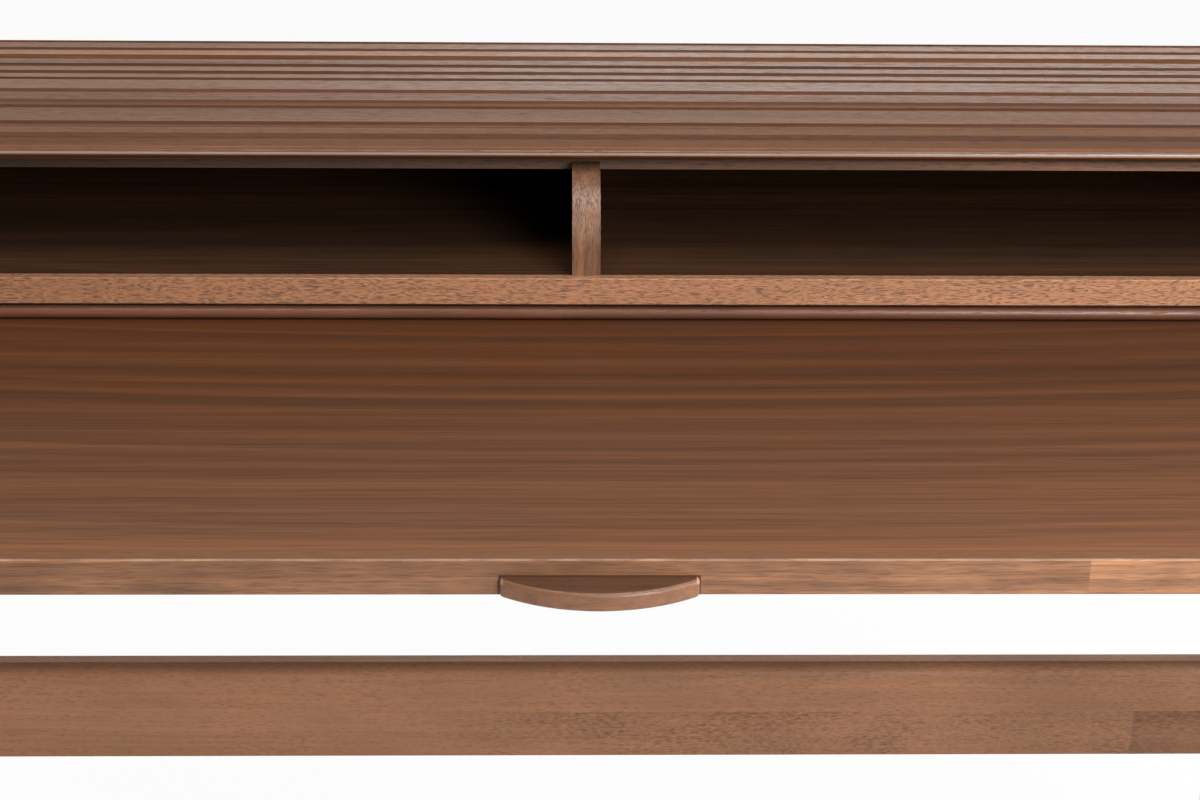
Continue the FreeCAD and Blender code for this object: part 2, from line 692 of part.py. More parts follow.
# ---------------------------------------------------------------- ball slides
sheet_t = val("slide_sheet")
slide_w = val("slide_width")
slide_h = val("slide_height")
slide_z = board_under - (val("bearer_height") + slide_h) / 2
fixed_y = back_y - val("slide_back_gap") - val("slide_length")
moving_y = fixed_y - val("board_travel")
ball_r = val("ball_diameter") / 2
ball_low = slide_z + sheet_t + val("ball_play") + ball_r
ball_high = slide_z + slide_h - sheet_t - val("ball_play") - ball_r
inner_low = ball_low + ball_r + val("ball_play")
inner_high = ball_high - ball_r - val("ball_play")
flange = slide_w - 3 * sheet_t


def channel(label, wall, towards, low, high, width, length, y):
    """Rolled channel: its web stands at wall and its flanges point towards the other one."""
    web = wall + towards * sheet_t
    lip_end = wall + towards * width
    points = [(wall, low), (lip_end, low), (lip_end, low + sheet_t), (web, low + sheet_t),
              (web, high - sheet_t), (lip_end, high - sheet_t), (lip_end, high), (wall, high)]
    body = new_body(label)
    sketch = new_sketch(body, "XZ_Plane", label + "_section", polygon(points))
    pad = add_pad(body, sketch, length)
    pad.Reversed = True
    move(body, y=y)
    return keep(body, label)


def ball_cage(label, hand, y):
    """Folded strip that carries the balls between the two channels."""
    strip_t = val("cage_sheet")
    length = val("cage_length")
    web_gap = (slide_w - (slide_w - 2 * sheet_t) - sheet_t - strip_t) / 2
    web_far = inner_x - sheet_t - web_gap
    tips = web_far - strip_t / 2 - flange + web_gap
    mid_x = inner_x - sheet_t - flange / 2

    def strip(low_x, high_x, low_z, high_z):
        low = min(hand * low_x, hand * high_x)
        return Part.makeBox(high_x - low_x, length, high_z - low_z, Vector(low, y, low_z))

    pieces = [strip(tips, web_far, ball_low - strip_t / 2, ball_low + strip_t / 2),
              strip(tips, web_far, ball_high - strip_t / 2, ball_high + strip_t / 2),
              strip(web_far - strip_t, web_far, ball_low, ball_high)]
    for share in (0.12, 0.5, 0.88):
        for z in (ball_low, ball_high):
            pieces.append(Part.makeSphere(ball_r, Vector(hand * mid_x, y + length * share, z)))
    item = doc.addObject("Part::Feature", label)
    item.Shape = pieces[0].multiFuse(pieces[1:])
    return keep(item, label)


for hand, side in ((-1, "left"), (1, "right")):
    channel("slide_%s_fixed" % side, hand * inner_x, -hand, slide_z, slide_z + slide_h,
            slide_w - 2 * sheet_t, "Sizes.slide_length", fixed_y)
    channel("slide_%s_moving" % side, hand * (inner_x - slide_w), hand, inner_low, inner_high,
            slide_w - 2 * sheet_t, "Sizes.slide_length", moving_y)
    ball_cage("ball_cage_" + side, hand, fixed_y + val("cage_end_gap"))

# ---------------------------------------------------------------- tambour
slat_half = inner_x - val("slat_end_gap")
SLAT_LENGTH = "(%s - 2 * Sizes.slat_end_gap)" % INNER_WIDTH
joints = []


def slat_profile(width, proud, nose):
    """Cross-section with bevelled long edges; the lift rail has a bead along its front."""
    half_w = (width - val("slat_gap")) / 2
    top = val("slat_thickness") + proud
    bevel = val("slat_bevel")
    rear = [(half_w, 0), (half_w, top - bevel), (half_w - bevel, top)]
    if not nose:
        return polygon(rear + [(-half_w + bevel, top), (-half_w, top - bevel), (-half_w, 0)])
    radius = val("nose_radius")
    face = -width / 2 + radius
    high = top - val("nose_quirk")
    outline = [(face, high - 2 * radius), (face, 0)] + rear + [(face, top), (face, high)]
    edges = [line(a, b) for a, b in zip(outline, outline[1:])]
    edges.append(arc((face, high), (face - radius, high - radius), (face, high - 2 * radius)))
    return edges


def slat(label, width, proud, run):
    """One slat with its tongues, set on the track at the middle of its width."""
    body = new_body(label)
    section = slat_profile(width, proud, label == "lift_rail")
    add_pad(body, new_sketch(body, "YZ_Plane", label + "_section", section, -slat_half),
            SLAT_LENGTH)
    tongue = min(val("tongue_width") / 2, width / 2 - val("tongue_shoulder"))
    mid = val("slat_thickness") / 2
    thick = val("tongue_thickness") / 2
    tongue_edges = rectangle((-tongue, mid - thick), (tongue, mid + thick))
    sketch = new_sketch(body, "YZ_Plane", label + "_tongue", tongue_edges,
                        -slat_half - val("tongue_length"))
    body.Tip = add_pad(body, sketch, SLAT_LENGTH + " + 2 * Sizes.tongue_length")
    y, z, slope = track.at(run)
    body.Placement = FreeCAD.Placement(
        Vector(0, y, z), FreeCAD.Rotation(Vector(1, 0, 0), math.degrees(slope)))
    return keep(body, label)


def canvas(label, slat_item, width, nose):
    """The stretch of the tambour's canvas that is glued under one slat."""
    front = val("nose_radius") - width / 2 if nose else (val("slat_gap") - width) / 2
    rear = (width - val("slat_gap")) / 2
    stretch = board(label, SLAT_LENGTH + " - 2 * Sizes.canvas_end_inset",
                    "%r - 2 * Sizes.canvas_inset" % (rear - front), "Sizes.canvas_thickness", (0, 0, 0))
    corner = Vector(val("canvas_end_inset") - slat_half, front + val("canvas_inset"),
                    -val("canvas_thickness"))
    stretch.Placement = slat_item.Placement.multiply(FreeCAD.Placement(corner, FreeCAD.Rotation()))


run = val("nose_run")
for name, width, proud in SLATS:
    middle_run = run - width / 2
    canvas("canvas_" + name, slat(name, width, proud, middle_run), width, name == "lift_rail")
    open_y, open_z, open_slope = track.at(middle_run)
    shut_y, shut_z, shut_slope = track.at(middle_run + val("tambour_travel"))
    turn = shut_slope - open_slope
    joints.append((name, turn, (open_y, open_z), (shut_y, shut_z)))
    run -= width

# ---------------------------------------------------------------- screws and dowels
def drill(label, hosts):
    """Cut the holes for one group of fasteners in the pieces that they hold."""
    group = [n for n in nodes if n.Label == label][0]
    for name in hosts:
        host = [n for n in nodes if n.Label == name][0]
        nodes.remove(host)
        host.Label = name + "_before_" + label
        cut(name, host, group)


def fasteners(label, shapes, hosts):
    """One node of equal fasteners, with their holes in the pieces they hold."""
    item = doc.addObject("Part::Feature", label)
    item.Shape = Part.makeCompound(shapes)
    keep(item, label)
    drill(label, hosts)


up, down, inward = Vector(0, 0, 1), Vector(0, 0, -1), Vector(0, -1, 0)
frame_screw_x = frame_rail_x + val("frame_rail_thickness") / 2
fasteners("frame_screws", [
    screw(val("screw_length"), Vector(hand * frame_screw_x, leg_front_y + leg_w + span_y * part,
                                      bottom_top), down)
    for hand in (-1, 1) for part in (0.2, 0.5, 0.8)],
    ["case_bottom", "frame_rail_left", "frame_rail_right"])
fasteners("board_screws", [
    screw(val("bearer_height") + val("screw_bite"),
          Vector(hand * (bearer_x + val("bearer_thickness") / 2),
                 bearer_y + val("board_depth") * part, board_under - val("bearer_height")), up)
    for hand in (-1, 1) for part in (0.1, 0.45, 0.8)],
    ["bearer_left", "bearer_right", "writing_board"])
fasteners("back_screws", [
    screw(val("short_screw_length"), Vector(inner_x * part, back_y + val("back_thickness"), z),
          inward)
    for part in (-0.8, -0.4, 0.15, 0.4, 0.8)
    for z in (case_under + val("bottom_thickness") / 2, shelf_top - val("shelf_thickness") / 2)],
    ["back_panel", "case_bottom", "shelf"])
dowel_start = board_front + val("dowel_length") / 2
fasteners("pull_dowels", [
    Part.makeCylinder(val("dowel_radius"), val("dowel_length"),
                      Vector(hand * val("pull_chord") / 5, dowel_start,
                             board_under + val("pull_thickness") / 2), inward)
    for hand in (-1, 1)], ["pull", "front_lipping_long", "writing_board"])

doc.recompute()

# ---------------------------------------------------------------- check and write
faults = [o.Name for o in doc.Objects if "Invalid" in o.State or "Error" in o.State]
for item in nodes:
    if item.Shape.isNull() or not item.Shape.isValid():
        faults.append(item.Label)
if faults:
    raise RuntimeError("faulty objects: " + ", ".join(faults))
os.makedirs("parts", exist_ok=True)
for item in nodes:
    item.Shape.exportStep("parts/%s.step" % item.Label)
box = FreeCAD.BoundBox()
for item in nodes:
    box.add(item.Shape.BoundBox)
print("nodes", len(nodes))
print("box", [round(v, 2) for v in (box.XMin, box.XMax, box.YMin, box.YMax, box.ZMin, box.ZMax)])
for name, turn, opened, shut in joints:
    print(name, "turn %.5f" % turn, "open %.3f %.3f" % opened, "shut %.3f %.3f" % shut)
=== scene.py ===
# %% [markdown]
# # A walnut tambour desk, dressed in Blender
# The desk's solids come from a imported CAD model, and every one of them already
# sits in its place. This lesson gives each a procedural wood, steel, plastic or
# cloth finish, and then models by hand the screws, which the drawing shows as
# plain pegs.

import math

import bmesh
import bpy
from mathutils import Matrix, Vector


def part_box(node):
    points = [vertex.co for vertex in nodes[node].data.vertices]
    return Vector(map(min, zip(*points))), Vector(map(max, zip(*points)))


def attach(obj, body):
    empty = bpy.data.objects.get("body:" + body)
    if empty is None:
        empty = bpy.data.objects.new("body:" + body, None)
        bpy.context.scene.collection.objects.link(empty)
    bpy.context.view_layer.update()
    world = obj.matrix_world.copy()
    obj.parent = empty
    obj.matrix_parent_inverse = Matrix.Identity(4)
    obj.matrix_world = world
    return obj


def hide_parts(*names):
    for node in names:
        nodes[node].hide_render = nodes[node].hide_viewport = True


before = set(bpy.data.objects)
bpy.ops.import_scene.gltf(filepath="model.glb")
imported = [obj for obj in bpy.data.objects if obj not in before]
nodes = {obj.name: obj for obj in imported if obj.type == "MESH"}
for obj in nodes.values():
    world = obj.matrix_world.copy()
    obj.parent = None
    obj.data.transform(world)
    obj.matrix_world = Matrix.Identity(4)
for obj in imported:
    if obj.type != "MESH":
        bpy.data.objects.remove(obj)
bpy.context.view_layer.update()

# %% [markdown]
# ## The camera
# The desk is looked at from the front, from a little above the sitter's eye,
# through a 60 mm lens. Such a lens keeps long rails straight. The camera is
# turned by three small angles: down, to the right, and a hair of roll, as on a
# tripod that was not quite levelled. One matrix product gives them in order.

# %% Camera
EYE = Vector((-0.0195, -1.189, 1.160))
LOOK_DOWN = math.radians(21.12)
LOOK_RIGHT = math.radians(1.25)
ROLL = math.radians(0.52)

camera_data = bpy.data.cameras.new("camera")
camera_data.lens = 60
camera_data.sensor_width = 36
camera_data.clip_start = 0.05
camera = bpy.data.objects.new("camera", camera_data)
bpy.context.scene.collection.objects.link(camera)
turn = (
    Matrix.Rotation(-LOOK_RIGHT, 4, "Z")
    @ Matrix.Rotation(math.radians(90) - LOOK_DOWN, 4, "X")
    @ Matrix.Rotation(ROLL, 4, "Z")
)
camera.matrix_world = Matrix.Translation(EYE) @ turn
bpy.context.scene.camera = camera
print("camera: %.0f mm, %.2f m above the floor" % (camera_data.lens, EYE.z))

# %% [markdown]
# ## Floor, backdrop and light
# A studio sweep is one white sheet: flat on the floor, then curved up behind
# the object. It is built as a strip of faces that follows a quarter circle, so
# no corner line shows. It is large enough to walk round the desk with the
# camera and stay in front of it.

# %% The sweep
def sweep(name, half_width, front, back, radius, height, steps=16):
    """A floor that turns up into a wall through a quarter circle."""
    line = [(front, 0.0), (back - radius, 0.0)]
    for i in range(1, steps + 1):
        a = math.radians(90 * i / steps)
        line.append((back - radius + radius * math.sin(a), radius - radius * math.cos(a)))
    line.append((back, height))
    mesh = bpy.data.meshes.new(name)
    points = [(x, y, z) for y, z in line for x in (-half_width, half_width)]
    faces = [(2 * i, 2 * i + 1, 2 * i + 3, 2 * i + 2) for i in range(len(line) - 1)]
    mesh.from_pydata(points, [], faces)
    obj = bpy.data.objects.new(name, mesh)
    bpy.context.scene.collection.objects.link(obj)
    for face in mesh.polygons:
        face.use_smooth = True
    return obj


studio = sweep("studio_sweep", half_width=14.0, front=-9.0, back=7.0, radius=2.0, height=9.0)
print("sweep:", len(studio.data.polygons), "faces")

# %% [markdown]
# Every material in this lesson is a tree of small nodes that is built in code.
# The helpers below each add one node and give back its output, so that a
# material reads like arithmetic.

# %% Helpers for node trees
def link(tree, a, b):
    tree.links.new(a, b)


def new_material(name):
    material = bpy.data.materials.new(name)
    material.use_nodes = True
    material.node_tree.nodes.clear()
    return material


def add_node(material, kind, **values):
    """A node with its settings; a name that isn't a setting is taken as a socket."""
    node = material.node_tree.nodes.new(kind)
    for key, value in values.items():
        if hasattr(node, key):
            setattr(node, key, value)
        else:
            node.inputs[key.replace("_", " ")].default_value = value
    return node


def maths(material, operation, *values):
    """One Math node; each value is a socket or a number."""
    node = add_node(material, "ShaderNodeMath", operation=operation)
    for socket, value in zip(node.inputs, values):
        if isinstance(value, bpy.types.NodeSocket):
            link(material.node_tree, value, socket)
        else:
            socket.default_value = value
    return node.outputs[0]


def remap(material, value, low, high, to_low, to_high, kind="LINEAR"):
    """Carries low..high over to to_low..to_high, and stops at the ends."""
    node = add_node(material, "ShaderNodeMapRange", interpolation_type=kind)
    for socket, number in zip(node.inputs[1:5], (low, high, to_low, to_high)):
        socket.default_value = number
    link(material.node_tree, value, node.inputs[0])
    return node.outputs[0]


def part_of(material, vector, axis):
    """The X, Y or Z part of a vector, as a socket."""
    node = add_node(material, "ShaderNodeSeparateXYZ")
    link(material.node_tree, vector, node.inputs[0])
    return node.outputs[axis]


# %% [markdown]
# The sheet's white is a mix: a matt surface that takes the desk's shadow, and a
# plain glow that only camera and mirror rays see, so that the sheet looks white
# and still doesn't act as a lamp. In mirror rays the glow fades with height, as
# on a real sheet that is lit along its foot. That fade is what lets the level
# slats at the back shine while those that tip forward, which mirror the sheet
# higher up, keep the brown of their wood.

# %% White sheet material
FULL_GLOW, GLOW_STRENGTH, MATT_WHITE = 0.92, 1.03, 0.8
LIT_HEIGHT, DARK_HEIGHT, DARK_SHARE = 2.50, 4.1, 0.38


def mirror_ray(material, path):
    """1 for rays that left a glossy or clear surface, as a socket."""
    return maths(material, "MAXIMUM", path.outputs["Is Glossy Ray"],
                 path.outputs["Is Transmission Ray"])


def sheet_glow(material):
    """How much of a ray sees glow: all camera rays, and mirror rays less with height."""
    path = add_node(material, "ShaderNodeLightPath")
    place = add_node(material, "ShaderNodeTexCoord")
    height = part_of(material, place.outputs["Object"], "Z")
    fade = remap(material, height, LIT_HEIGHT, DARK_HEIGHT, 1.0, DARK_SHARE, "SMOOTHSTEP")
    mirrored = maths(material, "MULTIPLY", mirror_ray(material, path), fade)
    seen = maths(material, "MAXIMUM", path.outputs["Is Camera Ray"], mirrored)
    return maths(material, "MULTIPLY", seen, FULL_GLOW)


white = new_material("studio_white")
matt = add_node(white, "ShaderNodeBsdfDiffuse",
                Color=(MATT_WHITE, MATT_WHITE, MATT_WHITE, 1))
glow = add_node(white, "ShaderNodeEmission", Color=(1, 1, 1, 1), Strength=GLOW_STRENGTH)
blend = add_node(white, "ShaderNodeMixShader")
out = add_node(white, "ShaderNodeOutputMaterial")
link(white.node_tree, sheet_glow(white), blend.inputs["Fac"])
link(white.node_tree, matt.outputs[0], blend.inputs[1])
link(white.node_tree, glow.outputs[0], blend.inputs[2])
link(white.node_tree, blend.outputs[0], out.inputs["Surface"])
studio.data.materials.append(white)
print("white sheet: %d nodes" % len(white.node_tree.nodes))

# %% [markdown]
# A key softbox stands high on the right and lights every edge that faces
# forward. A low one beside it reaches under the boards. One at the side models
# the right-hand ends, and one overhead keeps the tops as bright as the fronts.
# Nothing stands on the left, so the divider throws its shadow that way.

# %% Lamps
DESK_MIDDLE = (0.0, 0.0, 0.75)
SOFTBOXES = [  # name, place, size in metres, power in watts
    ("key_softbox", (1.4, -2.6, 2.3), (1.6, 1.2), 64),
    ("low_softbox", (1.5, -2.6, 1.4), (1.4, 0.9), 44),
    ("side_softbox", (2.4, -1.0, 1.5), (1.2, 1.2), 26),
    ("overhead_softbox", (0.2, -0.8, 2.9), (2.4, 1.4), 46),
]
for name, place, size, power in SOFTBOXES:
    data = bpy.data.lights.new(name, "AREA")
    data.shape = "RECTANGLE"
    data.size, data.size_y = size
    data.energy = power
    lamp = bpy.data.objects.new(name, data)
    bpy.context.scene.collection.objects.link(lamp)
    lamp.location = place
    to_desk = Vector(DESK_MIDDLE) - Vector(place)
    lamp.rotation_euler = to_desk.to_track_quat("-Z", "Y").to_euler()
bpy.context.scene.view_settings.view_transform = "Standard"
print("softboxes:", len(SOFTBOXES))

# %% [markdown]
# The room beyond the sheet is dim for the light that falls on the desk, white
# where the camera looks past the sheet's edge, and a little brighter in
# mirror rays, as a pale room is.

# %% The room
DIM, WHITE, MIRRORED = 0.10, 0.87, 0.02
world = bpy.data.worlds.new("studio")
bpy.context.scene.world = world
world.use_nodes = True
path = add_node(world, "ShaderNodeLightPath")
seen = maths(world, "MULTIPLY", path.outputs["Is Camera Ray"], WHITE)
mirrored = maths(world, "MULTIPLY", mirror_ray(world, path), MIRRORED)
strength = maths(world, "ADD", maths(world, "ADD", seen, mirrored), DIM)
background = world.node_tree.nodes["Background"]
background.inputs["Color"].default_value = (1, 1, 1, 1)
link(world.node_tree, strength, background.inputs["Strength"])
print("room: %d nodes" % len(world.node_tree.nodes))

# %% [markdown]
# ## Walnut
# Walnut is brown with darker growth lines that run nearly straight, short dark
# pores along the grain, and a slow change of tone from plank to plank. Each of
# these is its own layer of noise, stretched far longer along the grain than
# across, and they are laid over each other like glazes. Object coordinates are
# in metres here, so 500 cycles per metre is a pattern of 2 mm.

# %% Layers of noise along the grain
GRAIN_TURN = {
    "X": (0.0, 0.0, 0.0),
    "Y": (0.0, 0.0, math.radians(90)),
    "Z": (0.0, math.radians(90), 0.0),
}


def stretched_noise(material, vector, along, across, detail=3.0, roughness=0.55, shift=0.0):
    """Noise that is `along` cycles per metre with the grain and `across` against it."""
    tree = material.node_tree
    scale = add_node(material, "ShaderNodeMapping")
    scale.inputs["Scale"].default_value = (along, across, across)
    scale.inputs["Location"].default_value = (shift, shift * 1.7, shift * 0.6)
    noise = add_node(material, "ShaderNodeTexNoise", Scale=1.0, Detail=detail,
                     Roughness=roughness)
    link(tree, vector, scale.inputs["Vector"])
    link(tree, scale.outputs[0], noise.inputs["Vector"])
    return noise.outputs["Fac"]


def ramp(material, value, stops):
    """A colour ramp from (position, grey or colour) pairs."""
    node = add_node(material, "ShaderNodeValToRGB")
    node.color_ramp.elements[0].position = stops[0][0]
    node.color_ramp.elements[1].position = stops[-1][0]
    for position, _ in stops[1:-1]:
        node.color_ramp.elements.new(position)
    for element, (_, colour) in zip(node.color_ramp.elements, stops):
        if isinstance(colour, (int, float)):
            colour = (colour, colour, colour)
        element.color = (*colour, 1)
    link(material.node_tree, value, node.inputs["Fac"])
    return node.outputs["Color"]


def mix(material, kind, factor, a, b):
    """Mixes two colours; each input is a socket or a value."""
    node = add_node(material, "ShaderNodeMix", data_type="RGBA", blend_type=kind)
    for socket, value in ((node.inputs[0], factor), (node.inputs[6], a), (node.inputs[7], b)):
        if isinstance(value, bpy.types.NodeSocket):
            link(material.node_tree, value, socket)
        elif isinstance(value, (int, float)):
            socket.default_value = value
        else:
            socket.default_value = (*value, 1)
    return node.outputs[2]


def glaze(material, colour, value, *stops):
    """A colour multiplied by what a ramp makes of a value."""
    return mix(material, "MULTIPLY", 1.0, colour, ramp(material, value, stops))


# %% [markdown]
# Grain is never ruled with a straight edge. A slow noise pushes the pattern
# sideways by some millimetres over half a metre, and where the wood is figured
# a quicker one makes the short pores lean one way and then the other.

# %% Where a point lies in the plank
def plank_space(material, grain, seed, wave, figure, squeeze):
    """Object coordinates turned to the grain, with its slow wander and its figure."""
    tree = material.node_tree
    place = add_node(material, "ShaderNodeTexCoord").outputs["Object"]
    turned = add_node(material, "ShaderNodeMapping")
    turned.inputs["Rotation"].default_value = GRAIN_TURN[grain]
    turned.inputs["Location"].default_value = (seed, seed * 0.37, seed * 0.21)
    turned.inputs["Scale"].default_value = squeeze
    link(tree, place, turned.inputs["Vector"])
    slow = stretched_noise(material, turned.outputs[0], 1.6, 5.0, 2.0, shift=3.1)
    quick = stretched_noise(material, turned.outputs[0], 30.0, 34.0, 1.0, shift=6.7)
    push = maths(material, "ADD", remap(material, slow, 0.0, 1.0, -wave, wave),
                 remap(material, quick, 0.0, 1.0, -figure, figure))
    sideways = add_node(material, "ShaderNodeCombineXYZ")
    link(tree, push, sideways.inputs["Y"])
    link(tree, push, sideways.inputs["Z"])
    bent = add_node(material, "ShaderNodeVectorMath", operation="ADD")
    link(tree, turned.outputs[0], bent.inputs[0])
    link(tree, sideways.outputs[0], bent.inputs[1])
    return place, bent.outputs[0]


# %% [markdown]
# Growth lines are contour lines: take a slow noise, count it up many times over
# and mark where the count turns. The lines then crowd and spread as they do on
# a real board, and never cross. The finish lays them over the tone of the
# plank, then the fine strands, the clouds and the pores. Each pore is dark,
# a little rougher than the lacquer round it, and sunk by a bump.

# %% The finish itself
WARMER = (1.5, 1.35, 1.2)  # a bright growth line against the light wood
STRANDS = 330.0  # fine strands across a metre
PORE_FLOOR, PORE_RIM = 0.38, 0.46  # the pore noise is dark below the first
PORE_DARK, PORE_ROUGH, PORE_DEPTH = 0.20, 0.3, 0.0002
UNEVEN_GLOSS = 0.06
LINE_DRIFT = 0.25  # how often a growth line swerves in a metre
LINE_EDGE = 0.55  # a line shows where its wave is higher than this


def growth_lines(material, wood, across, count, shift):
    """Thin bright contour lines of a slow noise, 0 to 1."""
    field = stretched_noise(material, wood, LINE_DRIFT, across, 2.0, 0.5, shift=shift)
    turns = maths(material, "SINE", maths(material, "MULTIPLY", field, count))
    return remap(material, turns, LINE_EDGE, 1.0, 0.0, 1.0, "SMOOTHSTEP")


def finished(material, shader, height, strength, depth):
    """Lays a bump on a shader, `depth` in metres, and joins it to the output."""
    tree = material.node_tree
    relief = add_node(material, "ShaderNodeBump", Strength=strength, Distance=depth)
    link(tree, height, relief.inputs["Height"])
    link(tree, relief.outputs[0], shader.inputs["Normal"])
    out = add_node(material, "ShaderNodeOutputMaterial")
    link(tree, shader.outputs[0], out.inputs["Surface"])
    return material


def walnut(name, light, dark, grain="X", seed=0.0, band=28.0, lines=0.3, across=6.0,
           count=90.0, fibre=0.25, reach=3.0, pores=0.5, pore=(110.0, 1700.0),
           crowding=0.03, mottle=0.1, gloss=0.40, shine=0.5, bump=0.25, wave=0.012,
           figure=0.0, cover=0.0, squeeze=(1, 1, 1), fade=None, extra=None):
    """Walnut under a thin satin lacquer; `fade` is (axis, start, end, share, share).

    `pore` is how often pores come along and across the grain in a metre, and
    a larger `cover` makes more and wider ones. `squeeze` below 1 draws the grain
    out along an axis, as on an edge that curves away along it.
    """
    material = new_material(name)
    place, wood = plank_space(material, grain, seed, wave, figure, squeeze)
    tone = stretched_noise(material, wood, 0.8, band, 3.0, 0.5, shift=seed)
    colour = ramp(material, tone, [(0.3, dark), (0.7, light)])
    warm = tuple(min(1.0, c * k) for c, k in zip(light, WARMER))
    bright = growth_lines(material, wood, across, count, seed + 2)
    colour = mix(material, "MIX", maths(material, "MULTIPLY", bright, lines), colour, warm)
    strands = stretched_noise(material, wood, reach, STRANDS, 4.0, 0.65, shift=seed + 5)
    colour = glaze(material, colour, strands, (0.32, 1 - fibre), (0.68, 1 + fibre))
    cloud = stretched_noise(material, wood, 14.0, 38.0, 3.0, 0.6, shift=seed + 7)
    colour = glaze(material, colour, cloud, (0.32, 1 - mottle), (0.68, 1 + mottle))
    floor, rim = PORE_FLOOR + cover, PORE_RIM + cover
    crowd = remap(material, cloud, 0.35, 0.65, crowding, -crowding)
    pit = stretched_noise(material, wood, pore[0], pore[1], 1.0, 0.5, shift=seed + 13)
    pit = maths(material, "ADD", pit, crowd)
    pits = ramp(material, pit, [(floor, PORE_DARK), (rim, 1.0)])
    colour = mix(material, "MULTIPLY", pores, colour, pits)
    if fade:
        axis, start, end, first, last = fade
        share = remap(material, part_of(material, place, axis), start, end, 0.0, 1.0)
        colour = glaze(material, colour, share, (0.0, first), (1.0, last))
    smooth = remap(material, strands, 0.3, 0.7, gloss + UNEVEN_GLOSS, gloss - UNEVEN_GLOSS)
    dull_pits = remap(material, pit, floor, rim, PORE_ROUGH, 0.0)
    rough = maths(material, "ADD", smooth, dull_pits)
    if extra:
        colour, rough = extra(material, place, colour, rough)
    shader = add_node(material, "ShaderNodeBsdfPrincipled", Specular_IOR_Level=shine)
    link(material.node_tree, colour, shader.inputs["Base Color"])
    link(material.node_tree, rough, shader.inputs["Roughness"])
    return finished(material, shader, pits, bump, PORE_DEPTH)


def dress(node, material):
    """Puts one material on a CAD node."""
    mesh = nodes[node].data
    mesh.materials.clear()
    mesh.materials.append(material)
    print("%-22s %s" % (node, material.name))


# %% [markdown]
# ## Wear, patches and painted light and shade
# Some marks are worth drawing on their own: an arris rubbed pale by hands, a
# rail glued up from several strips of wood, the slats' bevelled edges, painted
# dark and dull as painted shade in the grooves, and patches of painted light and
# shade. Each is a mask made from the piece's own coordinates, so it stays put
# when the piece moves. A function here gives back a second function, the mark,
# which the finish calls last.

# %% Masks, tints and worn edges
FAR = 1.0  # a limit in metres that lies past every face of the desk


def between(material, place, axis, low, high):
    """1 between two planes across an axis, 0 outside, as a socket."""
    value = part_of(material, place, axis)
    above = maths(material, "GREATER_THAN", value, low)
    below = maths(material, "LESS_THAN", value, high)
    return maths(material, "MULTIPLY", above, below)


def inside(material, place, limits):
    """1 inside a box given as (axis, low, high) limits, 0 outside, as a socket."""
    mask = 1.0
    for limit in limits:
        mask = maths(material, "MULTIPLY", between(material, place, *limit), mask)
    return mask


def tinted(limits, tint):
    """The inside of a box, multiplied by a tint."""
    def mark(material, place, colour, rough):
        mask = inside(material, place, limits)
        return mix(material, "MULTIPLY", mask, colour, tint), rough
    return mark


def wear_and_highlight_patch(limits, pale, amount, chipped=0.25):
    """A patch inside a slim box, broken up by noise down to a share of `chipped`: wear and
    veneer skin on most pieces, a painted highlight on the lift rail.
    """
    def mark(material, place, colour, rough):
        chips = stretched_noise(material, place, 22.0, 30.0, 4.0, 0.7, shift=31.0)
        worn = remap(material, chips, 0.38, 0.62, chipped * amount, amount)
        worn = maths(material, "MULTIPLY", inside(material, place, limits), worn)
        return mix(material, "MIX", worn, colour, pale), rough
    return mark


def duller(axis, start, end, amount):
    """The lacquer loses gloss towards `start`."""
    def mark(material, place, colour, rough):
        less = remap(material, part_of(material, place, axis), start, end, amount, 0.0)
        return colour, maths(material, "ADD", rough, less)
    return mark


def marks(*each):
    """Several marks, laid one over the other."""
    def mark(material, place, colour, rough):
        for one in each:
            colour, rough = one(material, place, colour, rough)
        return colour, rough
    return mark


# %% [markdown]
# Three marks belong to one kind of piece each. A rail that is glued up shows a
# straight seam, and below it wood of another tree. A slat shows bands of painted
# groove shade.
# A wide veneer shows broad growth bands that bow across the board, and a ramp
# with one stop for each turn from light to dark is the plainest way to set them.

# %% Marks of a rail, a slat and a board
STRIP_FADE = 0.12  # metres over which the odd strip comes in
OTHER_TREE = (0.76, 0.74, 0.72)
# The bands' colour and dullness: painted shade in the grooves between slats.
GROOVE_SHADE, GROOVE_DULL = (0.26, 0.14, 0.02), 0.75
WANDER = 0.0015


def glued_strips(seam, end_joint, start):
    """Flecked wood below a seam right of `start`, and a darker length at its end."""
    def mark(material, place, colour, rough):
        lower = between(material, place, "Z", 0.0, seam)
        right = part_of(material, place, "X")
        right = remap(material, right, start - STRIP_FADE, start, 0.0, 1.0)
        strip = maths(material, "MULTIPLY", lower, right)
        end = between(material, place, "X", end_joint, FAR)
        end = maths(material, "MULTIPLY", lower, end)
        grey = stretched_noise(material, place, 160.0, 520.0, 4.0, 0.72, shift=17.0)
        grey = ramp(material, grey, [(0.38, (0.50, 0.48, 0.48)), (0.58, (1.0, 0.99, 0.98))])
        patch = stretched_noise(material, place, 12.0, 40.0, 3.0, 0.6, shift=23.0)
        patch = remap(material, patch, 0.38, 0.60, 0.3, 1.0)
        strip = maths(material, "MULTIPLY", strip, patch)
        colour = mix(material, "MULTIPLY", strip, colour, grey)
        return mix(material, "MULTIPLY", end, colour, OTHER_TREE), rough
    return mark


def groove_shade_bands(bands):
    """Dark dull bands of painted groove shade along a slat; each is (low y, high y, strength).
    """
    def mark(material, place, colour, rough):
        streak = stretched_noise(material, place, 3.0, 60.0, 3.0, 0.6, shift=41.0)
        uneven = remap(material, streak, 0.3, 0.7, 0.85, 1.0)
        for low, high, strength in bands:
            band = between(material, place, "Y", low, high)
            band = maths(material, "MULTIPLY", band, uneven)
            dull = maths(material, "MULTIPLY", band, GROOVE_DULL)
            rough = maths(material, "ADD", rough, dull)
            band = maths(material, "MULTIPLY", band, strength)
            colour = mix(material, "MULTIPLY", band, colour, GROOVE_SHADE)
        return colour, rough
    return mark


